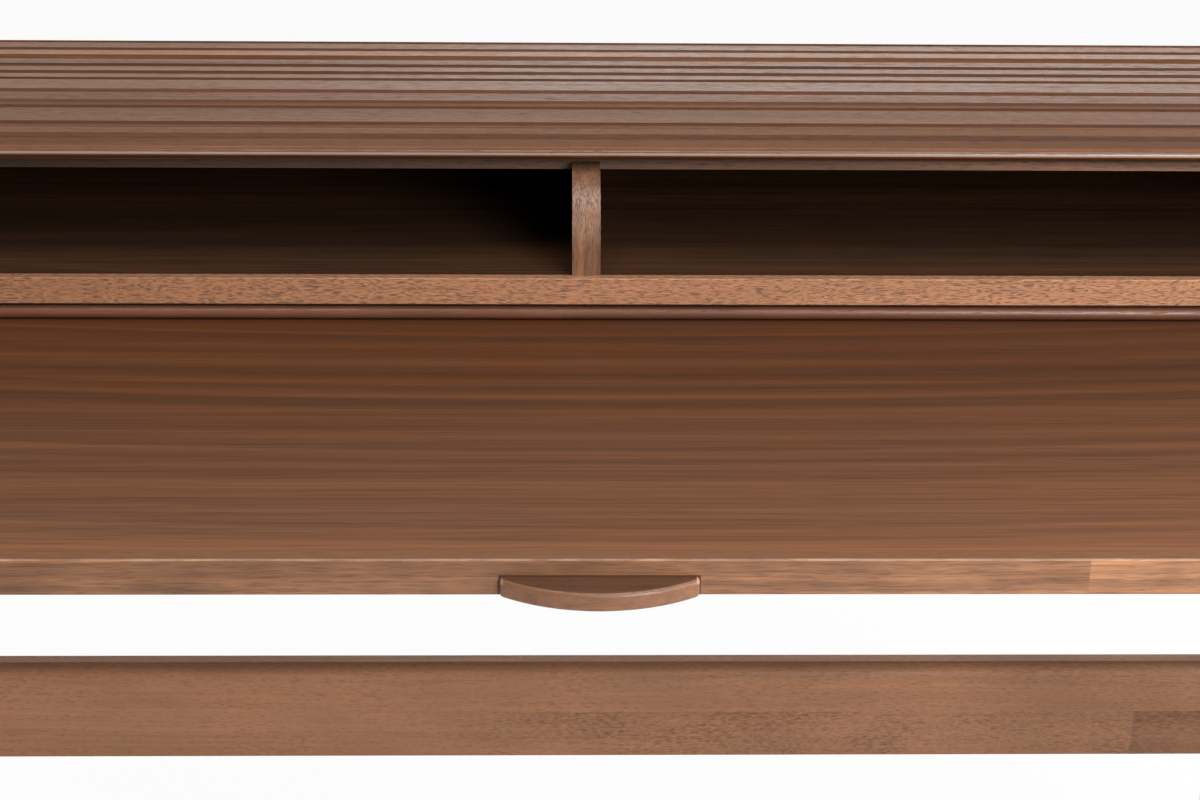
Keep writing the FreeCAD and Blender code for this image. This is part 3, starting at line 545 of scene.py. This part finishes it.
def growth_bands(bow, stops):
    """Light and dark streaks along a board; each stop is (y, share of the wood's tone).

    The streaks are bowed, as where a log tapers: `bow` times the square of x.
    """
    def mark(material, place, colour, rough):
        across = part_of(material, place, "X")
        square = maths(material, "MULTIPLY", across, across)
        depth = maths(material, "ADD", part_of(material, place, "Y"),
                      maths(material, "MULTIPLY", square, -bow))
        slow = stretched_noise(material, place, 2.5, 9.0, 2.0, 0.5, shift=53.0)
        depth = maths(material, "ADD", depth, remap(material, slow, 0.2, 0.8, -WANDER, WANDER))
        low, high = stops[0][0], stops[-1][0]
        share = remap(material, depth, low, high, 0.0, 1.0)
        stops_of_ramp = [((y - low) / (high - low), tone) for y, tone in stops]
        return glaze(material, colour, share, *stops_of_ramp), rough
    return mark


# %% [markdown]
# ## Which board is cut from which plank
# A palette is a light and a dark wood. `shade` makes one piece lighter or
# darker than its palette: on some pieces as no two planks match, on others as
# painted light or shade, which is said where it is used.

# %% Palettes
VENEER = dict(light=(0.152, 0.060, 0.0235), dark=(0.099, 0.037, 0.0145))
# The inside of the case: the same veneer painted much darker, as painted shade.
INSIDE_SHADED = dict(light=(0.068, 0.029, 0.012), dark=(0.042, 0.017, 0.007))
SOLID = dict(light=(0.350, 0.163, 0.085), dark=(0.270, 0.121, 0.060))
EDGE = dict(light=(0.280, 0.132, 0.066), dark=(0.190, 0.086, 0.042))
RED = dict(light=(0.190, 0.075, 0.038), dark=(0.120, 0.045, 0.022))
PULL = dict(light=(0.210, 0.092, 0.045), dark=(0.140, 0.058, 0.028))
RAIL = dict(light=(0.320, 0.150, 0.076), dark=(0.240, 0.108, 0.053))
SLAT = dict(light=(0.205, 0.095, 0.048), dark=(0.145, 0.066, 0.033))


def shade(palette, share):
    return {key: tuple(c * share for c in colour) for key, colour in palette.items()}


# %% [markdown]
# The writing board is veneered with straight-grained walnut. Its growth bands
# are given from the front edge back to the case, in metres from the desk's
# middle. A band that starts sharply on one side and dies out on the other reads
# as real, so the stops of each come at unequal steps. Towards the case the
# board sinks into shade, and the fade paints it darker there, as painted shade,
# and lighter at its front edge, as painted light.

# %% Writing board
board_low, board_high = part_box("writing_board")
BOW = 0.13
STREAKS = [
    (-0.3110, 1.20), (-0.3065, 1.20), (-0.3050, 0.97), (-0.2990, 1.00), (-0.2925, 1.24),
    (-0.2895, 0.89), (-0.2790, 0.96), (-0.2710, 1.10), (-0.2600, 1.00), (-0.2350, 0.98),
    (-0.2280, 0.85), (-0.2132, 1.16), (-0.2065, 0.88), (-0.1939, 1.30), (-0.1895, 0.84),
    (-0.1840, 0.88), (-0.1726, 1.15), (-0.1600, 1.00), (-0.1335, 1.16), (-0.1270, 0.86),
    (-0.1165, 0.80), (-0.1115, 1.36), (-0.0968, 0.85), (-0.0902, 1.18), (-0.0751, 0.78),
    (-0.0560, 1.15), (-0.0400, 0.87), (-0.0264, 1.17), (-0.0070, 0.82), (-0.0015, 1.34),
    (0.0, 1.00),
]
# The fade paints the board darker towards the case, as painted shade, and lighter at its front
# edge, as painted light.
dress("writing_board", walnut(
    "veneer_writing_board", seed=1.7, band=20.0, lines=0.10, across=22.0, count=30.0,
    fibre=0.16, reach=0.4, pores=0.3, pore=(9.0, 1500.0), mottle=0.03, gloss=0.45,
    shine=0.32, wave=0.006, fade=("Y", board_low[1], 0.0, 1.22, (0.60, 0.49, 0.34)),
    extra=growth_bands(BOW, STREAKS), **VENEER))
print("board from %.3f to %.3f, with %d streaks" % (board_low[1], board_high[1], len(STREAKS)))

# %% [markdown]
# The inside of the case is the same veneer, painted much darker as painted shade,
# and a little dusty, so duller. The shelf is painted lighter towards the back
# panel, a painted light that makes up for the deep shade there.

# %% Inside the case
INSIDE_PORES = dict(reach=0.6, pores=0.3, pore=(14.0, 1300.0))
# The fade paints the shelf lighter towards the back panel, as painted light.
dress("shelf", walnut("veneer_shelf", seed=3.4, band=45.0, fibre=0.3, gloss=0.75, shine=0.12,
                      fade=("Y", 0.16, 0.29, 1.0, 3.4), **INSIDE_PORES,
                      **shade(INSIDE_SHADED, 0.66)))
for i, node in enumerate(["dust_board", "case_bottom", "back_panel"]):
    dress(node, walnut("veneer_" + node, seed=5.1 + 1.7 * i, gloss=0.6, shine=0.2,
                       **INSIDE_PORES, **shade(INSIDE_SHADED, 1.6)))

# %% [markdown]
# Lippings are strips of solid wood that cover the veneered boards' edges. The
# shelf's is cut where the grain is figured: its short pores lean to and fro. Its
# lower edge is painted dark, a painted shadow of the gap above the bead, and it is
# painted lighter towards the right, as painted light from the softboxes. The dust
# board's is painted dark as painted shade, the more so towards the left, away
# from the softboxes.

# %% Lippings of the shelf and of the dust board
GAP_SHADOW_HEIGHT = 0.0009
lip_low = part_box("shelf_lipping")[0]
# The lipping's lower edge is painted dark: a painted shadow of the gap above the bead.
lip_gap_shadow = tinted([("Z", -FAR, lip_low[2] + GAP_SHADOW_HEIGHT)], (0.10, 0.08, 0.07))
# The fade paints the lipping lighter towards the right, as painted light from the softboxes.
dress("shelf_lipping", walnut(
    "solid_shelf_lipping", seed=20.0, band=16.0, lines=0.06, fibre=0.10, pores=0.72,
    pore=(170.0, 2100.0), cover=0.04, mottle=0.06, figure=0.0034, wave=0.006, shine=0.4,
    extra=lip_gap_shadow, fade=("X", -0.37, 0.37, 1.06, 1.26), **SOLID))
# The fade paints this lipping dark, as painted shade, darkest at the left.
dress("dust_board_lipping", walnut(
    "solid_dust_board_lipping", seed=24.6, fibre=0.15, pores=0.5,
    fade=("X", -0.37, 0.37, 0.16, 0.85), **EDGE))

# %% [markdown]
# The strip along the writing board's front takes the most wear. The board's
# veneer runs over its top as a thin skin, its front arris is rubbed pale in
# places, and round the pull a thin dark line is painted, a painted shadow where
# the pull meets the strip. The strip is painted lighter towards the right, as
# painted light from the softboxes.

# %% The writing board's front strip
SKIN, RUBBED, PULL_SHADOW_WIDTH, FACE_DEPTH = 0.0004, 0.0009, 0.0006, 0.0005
strip_low, strip_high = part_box("front_lipping_long")
pull_low, pull_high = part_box("pull")
skin = wear_and_highlight_patch([("Z", strip_high[2] - SKIN, FAR)], (0.165, 0.070, 0.029), 0.9, 0.95)
edge_wear = wear_and_highlight_patch([("Z", strip_high[2] - RUBBED, FAR),
                          ("Y", -FAR, strip_low[1] + RUBBED)], (0.45, 0.27, 0.17), 0.55, 0.05)
# A thin dark line round the pull: a painted shadow where the pull meets the strip.
pull_shadow_line = tinted([("X", pull_low[0] - PULL_SHADOW_WIDTH, pull_high[0] + PULL_SHADOW_WIDTH),
                    ("Y", -FAR, strip_low[1] + FACE_DEPTH),
                    ("Z", 0.0, pull_high[2] + PULL_SHADOW_WIDTH)], (0.30, 0.25, 0.22))
# The fade paints the strips darker at the left and lighter at the right, as painted light from
# the softboxes.
for i, node in enumerate(["front_lipping_long", "front_lipping_short"]):
    dress(node, walnut(
        "solid_" + node, seed=27.0 + 2.3 * i, band=60.0, lines=0.30, across=30.0, count=40.0,
        fibre=0.26, pores=0.30, pore=(70.0, 1500.0), cover=0.02, mottle=0.30, figure=0.001,
        shine=0.35, fade=("X", -0.26, 0.26, 0.80, 1.28),
        extra=marks(skin, edge_wear, pull_shadow_line), **EDGE))

# %% [markdown]
# The case's sides, the cap behind the last slat and the rails under the case are
# plain solid walnut. The grain runs along each piece, so it goes front to back in
# the sides and from left to right in the front rail and the cap. The cap is
# painted dark, a painted shade, as it lies behind the slats, and its lacquer is dull.

# %% Cap, sides and rails of the case
# The cap's shade of 0.40 paints it dark, as painted shade.
dress("rear_cap", walnut("solid_rear_cap", seed=31.5, band=60.0, gloss=0.7, shine=0.2,
                         **shade(EDGE, 0.40)))
dress("front_rail", walnut("solid_front_rail", seed=33.8, band=60.0, **EDGE))
for i, node in enumerate(["board_lipping_left", "board_lipping_right", "side_left",
                          "side_right", "frame_rail_left", "frame_rail_right"]):
    dress(node, walnut("solid_" + node, grain="Y", seed=40 + 2.9 * i, band=24.0, **EDGE))

# %% [markdown]
# The divider stands upright, and so does its grain. Its front edge curves away at
# the top. On such a curve the pores of a real board come out longer, so the
# pattern is drawn out from front to back.

# %% Divider
dress("divider", walnut(
    "solid_divider", grain="Z", seed=60.0, band=60.0, pores=0.65, pore=(80.0, 1900.0),
    cover=0.03, crowding=0.02, mottle=0.12, fibre=0.24, reach=8.0, gloss=0.29,
    squeeze=(1.0, 0.2, 1.0), **shade(EDGE, 0.73)))

# %% [markdown]
# The bead under the shelf and the crescent pull are of a redder wood. The top of
# the bead is painted nearly black, a painted shadow of the gap under the shelf.
# The pull's top is painted darker, a painted shade, and its two tips are rubbed
# pale.

# %% Bead and pull
BEAD_SHADOW_DEPTH = 0.0017
bead_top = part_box("shelf_bead")[1][2]
# The bead's top is painted nearly black: a painted shadow of the gap under the shelf.
bead_gap_shadow = tinted([("Z", bead_top - BEAD_SHADOW_DEPTH, FAR)], (0.05, 0.05, 0.05))
dress("shelf_bead", walnut(
    "red_shelf_bead", seed=70.0, band=60.0, lines=0.1, fibre=0.12, pores=0.3, mottle=0.15,
    gloss=0.28, shine=0.4, extra=bead_gap_shadow, **RED))
PULL_SHADE_DEPTH, TIP_WIDTH, TIP_TOP, TIP_FOOT = 0.0003, 0.0016, 0.0002, 0.0026
TIP_COLOUR = (0.60, 0.38, 0.24)
# The pull's top is painted darker: a painted shade.
pull_top_shade = tinted([("Z", pull_high[2] - PULL_SHADE_DEPTH, FAR)], (0.44, 0.42, 0.42))
corner = ("Z", pull_high[2] - TIP_FOOT, pull_high[2] - TIP_TOP)
left_tip = wear_and_highlight_patch([("X", -FAR, pull_low[0] + TIP_WIDTH), corner], TIP_COLOUR, 0.8, 0.4)
right_tip = wear_and_highlight_patch([("X", pull_high[0] - TIP_WIDTH, FAR), corner], TIP_COLOUR, 0.9, 0.4)
dress("pull", walnut(
    "red_pull", seed=73.1, band=60.0, lines=0.15, fibre=0.18, pores=0.25, mottle=0.16,
    gloss=0.34, shine=0.45, extra=marks(pull_top_shade, left_tip, right_tip), **PULL))

# %% [markdown]
# The legs' grain stands upright. The lower rail is glued up from strips of unlike
# wood, with a seam halfway up and a joint near its right-hand end. The rear half
# of its top is painted lighter and cooler, a painted reflection of the white sheet
# in the lacquer, and the rail is painted lighter towards its left end, as painted
# light.

# %% Legs and lower rail
for i, node in enumerate(["leg_front_left", "leg_front_right",
                          "leg_rear_left", "leg_rear_right"]):
    dress(node, walnut("leg_" + node, grain="Z", seed=80 + 2.1 * i, band=45.0, mottle=0.12,
                       **RAIL))
SEAM_HEIGHT, END_JOINT, STRIP_START = 0.042, 0.473, -0.03
RAIL_SHEEN_DEPTH, REAR_HALF = 0.0008, 0.3164
rail_low, rail_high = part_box("lower_rail")
strips = glued_strips(rail_low[2] + SEAM_HEIGHT, END_JOINT, STRIP_START)
# The rear half of the rail's top is painted lighter and cooler: a painted reflection of the
# white sheet.
rail_top_sheen = tinted([("Z", rail_high[2] - RAIL_SHEEN_DEPTH, FAR), ("Y", REAR_HALF, FAR)],
                  (2.1, 2.7, 3.7))
# The fade paints the rail lighter towards its left end, as painted light.
dress("lower_rail", walnut(
    "leg_lower_rail", seed=91.0, band=20.0, lines=0.08, fibre=0.09, pores=0.28,
    pore=(150.0, 1700.0), crowding=0.06, mottle=0.10, figure=0.001, gloss=0.5, shine=0.4,
    fade=("X", -0.5, 0.5, 1.30, 1.06), extra=marks(strips, rail_top_sheen), **RAIL))

# %% [markdown]
# The slats are told apart by the depth of the groove before each of them. The
# faces catch the bright sheet at a flat angle, and the edges, darkened as painted
# groove shade, don't. From the lift rail backwards, each slat has its own shade,
# painted lighter on the slats whose faces mirror more of the sheet, as painted
# reflection, its own warmth and its own bands of painted groove shade, given by
# their depth in the desk in metres. The bead on the lift rail's front is painted
# from its top down with light and shade: a darker line of painted shade, a painted
# highlight, and two darker levels of painted shade below. A thin orange line runs
# along its top, partly wear and partly a painted highlight on its arris. The
# lacquer of all ten is a little duller towards the left.

# %% The tambour's slats
SLATS = [  # node, shade as painted light and shade, warmth, bands of painted groove shade
    ("lift_rail", 0.66, 0.87, [(0.0725, 0.0760, 0.35)]),
    ("slat_1", 0.90, 0.98, [(0.0740, 0.0767, 0.72)]),
    ("slat_2", 0.95, 1.0, [(0.0900, 0.0917, 0.45), (0.0917, 0.0955, 0.9)]),
    ("slat_3", 0.98, 0.90, [(0.1250, 0.1258, 0.4), (0.1258, 0.1271, 0.9),
                            (0.1271, 0.1300, 0.3), (0.1303, 0.1385, 0.62)]),
    ("slat_4", 1.28, 1.0, [(0.1600, 0.1668, 0.9)]),
    ("slat_5", 1.38, 1.03, [(0.2010, 0.2068, 1.0)]),
    ("slat_6", 1.40, 1.03, [(0.2245, 0.2312, 1.0)]),
    ("slat_7", 1.22, 1.02, [(0.2494, 0.2562, 1.0)]),
    ("slat_8", 1.80, 1.05, [(0.2760, 0.2834, 0.95)]),
    ("slat_9", 1.38, 1.0, [(0.3045, 0.3100, 0.95)]),
]
LINE_TOP, ARRIS_TOP, ARRIS_FOOT, BEAD_FOOT = 0.8493, 0.8474, 0.8458, 0.8440
ARRIS_BACK, BEAD_BACK, UNDER_BACK = 0.0580, 0.0605, 0.0615
ORANGE_FRONT, ORANGE_BACK, ORANGE_FOOT = 0.0583, 0.0595, 0.8494
# The lift rail's bead, painted from the top down: a line of painted shade, a painted highlight,
# two levels of painted shade, and an orange line that is wear and a painted highlight.
lift_rail_light_and_shade = [
    tinted([("Y", -FAR, ARRIS_BACK), ("Z", ARRIS_TOP, LINE_TOP)], (0.82, 0.80, 0.80)),
    wear_and_highlight_patch([("Y", -FAR, ARRIS_BACK), ("Z", ARRIS_FOOT, ARRIS_TOP)],
                 (0.42, 0.29, 0.22), 0.62, 0.85),
    tinted([("Y", -FAR, BEAD_BACK), ("Z", BEAD_FOOT, ARRIS_FOOT)], (0.95, 0.85, 0.80)),
    tinted([("Y", -FAR, UNDER_BACK), ("Z", 0.0, BEAD_FOOT)], (0.48, 0.40, 0.35)),
    wear_and_highlight_patch([("Y", ORANGE_FRONT, ORANGE_BACK), ("Z", ORANGE_FOOT, FAR)],
                 (0.31, 0.125, 0.048), 0.62, 0.6),
]
left_end = duller("X", -0.30, -0.02, 0.22)
# Each slat's shade is painted light and shade: the slats whose faces mirror more of the sheet
# are painted lighter, as painted reflection.
for i, (node, share, warmth, bands) in enumerate(SLATS):
    tone = tinted([("Y", -FAR, FAR)], (1.0, warmth, warmth * warmth))
    more = lift_rail_light_and_shade if node == "lift_rail" else []
    dress(node, walnut(
        "slat_wood_%d" % i, seed=100 + 3.7 * i, band=70.0, lines=0.08, fibre=0.12, reach=2.0,
        pores=0.25, pore=(90.0, 1500.0), mottle=0.05, gloss=0.25, bump=0.12,
        extra=marks(tone, groove_shade_bands(bands), left_end, *more), **shade(SLAT, share)))
print("slats:", len(SLATS))

# %% [markdown]
# ## The plain parts
# Beech, zinc-plated steel and black plastic are simpler: one colour with a
# little noise in colour and roughness, so that no face looks printed.

# %% Beech, steel and plastic
SPREAD = 0.12  # how far the fleck takes the colour up and down
UNEVEN_PLAIN = 0.08


def plain(name, colour, metallic=0.0, roughness=0.5, noise=200.0, bump=0.05):
    material = new_material(name)
    place = add_node(material, "ShaderNodeTexCoord")
    texture = add_node(material, "ShaderNodeTexNoise", Scale=noise, Detail=3.0)
    link(material.node_tree, place.outputs["Object"], texture.inputs["Vector"])
    fleck = texture.outputs["Fac"]
    low = tuple(c * (1 - SPREAD) for c in colour)
    high = tuple(min(1.0, c * (1 + SPREAD)) for c in colour)
    tint = ramp(material, fleck, [(0.35, low), (0.65, high)])
    rough = remap(material, fleck, 0.0, 1.0, roughness - UNEVEN_PLAIN, roughness + UNEVEN_PLAIN)
    shader = add_node(material, "ShaderNodeBsdfPrincipled", Metallic=metallic)
    link(material.node_tree, tint, shader.inputs["Base Color"])
    link(material.node_tree, rough, shader.inputs["Roughness"])
    return finished(material, shader, fleck, bump, 0.0001)


steel = plain("zinc_steel", (0.60, 0.60, 0.62), metallic=1.0, roughness=0.35, noise=600.0)
plastic = plain("glide_black", (0.03, 0.028, 0.026), roughness=0.55, noise=900.0, bump=0.15)
for node in ["slide_left_fixed", "slide_right_fixed", "slide_left_moving",
             "slide_right_moving", "ball_cage_left", "ball_cage_right", "frame_screws",
             "board_screws", "back_screws"]:
    dress(node, steel)
dress("glides", plastic)
for i, node in enumerate(["bearer_left", "bearer_right", "pull_dowels"]):
    dress(node, walnut("beech_" + node, (0.55, 0.36, 0.20), (0.42, 0.26, 0.14), grain="Y",
                       seed=150 + i, band=60.0, lines=0.15, pores=0.2, gloss=0.6))

# %% [markdown]
# ## Screws
# The drawing has plain countersunk pegs for screws. A real head is a flat cone
# with a cross driven into it, so one screw is modelled here and then copied to
# every place. It starts as a cylinder that is cut across by bisect, and the
# rings below the head are drawn in. The cross is two tapered bars that are
# taken away by Boolean, because four small walls that meet in a point are
# slow to build face by face.

# %% One countersunk screw
HEAD_RADIUS, SHANK_RADIUS = 0.004, 0.002
POINT_LENGTH, POINT_SHARE = 0.004, 0.2
CROSS_WIDTH, CROSS_LENGTH, CROSS_DEPTH = 0.0009, 0.0046, 0.0015
CROSS_FOOT = (0.5, 0.45, 1)  # the bars' foot against their top
HAIR = 0.0001


def pick_vertices(obj, test):
    """Selects in edit mode the vertices for which test(place) is true."""
    mesh = bmesh.from_edit_mesh(obj.data)
    for vertex in mesh.verts:
        vertex.select = test(vertex.co)
    mesh.select_flush_mode()
    bmesh.update_edit_mesh(obj.data)


def cut_across(height):
    """A ring of new edges round the piece in edit mode, at one height."""
    bpy.ops.mesh.select_all(action="SELECT")
    bpy.ops.mesh.bisect(plane_co=(0, 0, height), plane_no=(0, 0, 1))


def bar_cutter(width, length):
    """A bar through the head's top that narrows as it goes down."""
    bpy.ops.object.select_all(action="DESELECT")
    bpy.ops.mesh.primitive_cube_add(size=1.0)
    bar = bpy.context.object
    bpy.ops.object.mode_set(mode="EDIT")
    bpy.ops.transform.resize(value=(width, length, 2 * CROSS_DEPTH))
    pick_vertices(bar, lambda place: place.z < 0)
    bpy.ops.transform.resize(value=CROSS_FOOT)
    bpy.ops.object.mode_set(mode="OBJECT")
    return bar


def model_screw(length):
    """Head at the origin, point down; the same sizes as its CAD peg."""
    bpy.ops.object.select_all(action="DESELECT")
    bpy.ops.mesh.primitive_cylinder_add(vertices=32, radius=HEAD_RADIUS, depth=length,
                                        location=(0, 0, 0))
    screw = bpy.context.object
    bpy.ops.object.mode_set(mode="EDIT")
    bpy.ops.transform.translate(value=(0, 0, -length / 2))
    neck = HEAD_RADIUS - SHANK_RADIUS
    cut_across(-neck)
    cut_across(POINT_LENGTH - length)
    pick_vertices(screw, lambda place: place.z < HAIR - neck)
    shank = SHANK_RADIUS / HEAD_RADIUS
    bpy.ops.transform.resize(value=(shank, shank, 1))
    pick_vertices(screw, lambda place: place.z < HAIR - length)
    bpy.ops.transform.resize(value=(POINT_SHARE, POINT_SHARE, 1))
    bpy.ops.object.mode_set(mode="OBJECT")
    for bar_size in ((CROSS_WIDTH, CROSS_LENGTH), (CROSS_LENGTH, CROSS_WIDTH)):
        bar = bar_cutter(*bar_size)
        bpy.context.view_layer.objects.active = screw
        carve = screw.modifiers.new("cross", "BOOLEAN")
        carve.operation = "DIFFERENCE"
        carve.solver = "EXACT"
        carve.object = bar
        bpy.ops.object.modifier_apply(modifier="cross")
        bpy.data.objects.remove(bar)
    return screw


# %% [markdown]
# A CAD node of screws holds many loose pegs in one mesh. Walking along the edges
# from any vertex reaches all of one peg and nothing else, which gives each peg's
# box, and the box gives the place of its head.

# %% Where the pegs are
def loose_boxes(mesh):
    """The box of each loose part of a mesh, as (low, high) corners."""
    parts = bmesh.new()
    parts.from_mesh(mesh)
    bmesh.ops.remove_doubles(parts, verts=parts.verts, dist=1e-6)
    todo = set(parts.verts)
    boxes = []
    while todo:
        edge_of_part = [todo.pop()]
        places = []
        while edge_of_part:
            vertex = edge_of_part.pop()
            places.append(vertex.co.copy())
            for edge in vertex.link_edges:
                other = edge.other_vert(vertex)
                if other in todo:
                    todo.remove(other)
                    edge_of_part.append(other)
        boxes.append((Vector([min(p[i] for p in places) for i in range(3)]),
                      Vector([max(p[i] for p in places) for i in range(3)])))
    parts.free()
    return sorted(boxes, key=lambda box: tuple(round(v, 4) for v in box[0]))


# %% [markdown]
# The frame screws are driven down into the frame, the board screws up from below
# and the back screws forward from behind. No two crosses stand alike on real
# work, so each copy is twisted by a further 37 degrees. The copies of a group are
# joined to one piece, which stands in for the CAD node.

# %% Every screw in its place
TWIST = 37
SCREW_GROUPS = [  # node, body, axis it lies along, end of the head, turn about X
    ("frame_screws", "case", 2, 1, 0),
    ("board_screws", "board", 2, 0, 180),
    ("back_screws", "case", 1, 1, -90),
]
for node, body, axis, end, degrees in SCREW_GROUPS:
    boxes = loose_boxes(nodes[node].data)
    length = boxes[0][1][axis] - boxes[0][0][axis]
    pattern = model_screw(length)
    turn = Matrix.Rotation(math.radians(degrees), 4, "X")
    copies = []
    for i, box in enumerate(boxes):
        place = (box[0] + box[1]) / 2
        place[axis] = box[end][axis]
        mesh = pattern.data.copy()
        twist = Matrix.Rotation(math.radians(TWIST * i), 4, "Z")
        mesh.transform(Matrix.Translation(place) @ turn @ twist)
        copy = bpy.data.objects.new("%s_%d" % (node, i), mesh)
        bpy.context.scene.collection.objects.link(copy)
        copies.append(copy)
    bpy.data.objects.remove(pattern)
    bpy.ops.object.select_all(action="DESELECT")
    for copy in copies:
        copy.select_set(True)
    bpy.context.view_layer.objects.active = copies[0]
    bpy.ops.object.join()
    group = bpy.context.object
    group.name = "cross_head_" + node
    bpy.ops.object.shade_smooth_by_angle(angle=math.radians(30))
    group.data.materials.append(steel)
    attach(group, body)
    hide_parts(node)
    print(group.name, len(boxes), "screws of %.1f mm" % (length * 1000))

# %% [markdown]
# ## Canvas
# The slats are glued to one brown cotton cloth. Its weave is two sets of fine
# waves at right angles, and where both are high a thread stands up.

# %% Woven canvas
THREADS = 900.0  # in a metre
HOLLOW_SHADE = 0.55  # the cloth is painted darker between the threads, a painted shade in the weave's hollows


def canvas(name, colour):
    """Plain-woven cloth."""
    material = new_material(name)
    place = add_node(material, "ShaderNodeTexCoord").outputs["Object"]
    waves = []
    for axis in ("X", "Y"):
        turns = maths(material, "MULTIPLY", part_of(material, place, axis), THREADS * math.pi)
        waves.append(maths(material, "ABSOLUTE", maths(material, "SINE", turns)))
    weave = maths(material, "MULTIPLY", *waves)
    hollow = tuple(c * HOLLOW_SHADE for c in colour)
    tint = ramp(material, weave, [(0.0, hollow), (0.7, colour)])
    dust = stretched_noise(material, place, 40.0, 40.0, 4.0, 0.6)
    tint = glaze(material, tint, dust, (0.3, 0.85), (0.7, 1.15))
    shader = add_node(material, "ShaderNodeBsdfPrincipled", Roughness=0.9)
    link(material.node_tree, tint, shader.inputs["Base Color"])
    return finished(material, shader, weave, 0.4, 0.0003)


cloth = canvas("brown_canvas", (0.16, 0.12, 0.085))
for node, _, _, _ in SLATS:
    dress("canvas_" + node, cloth)
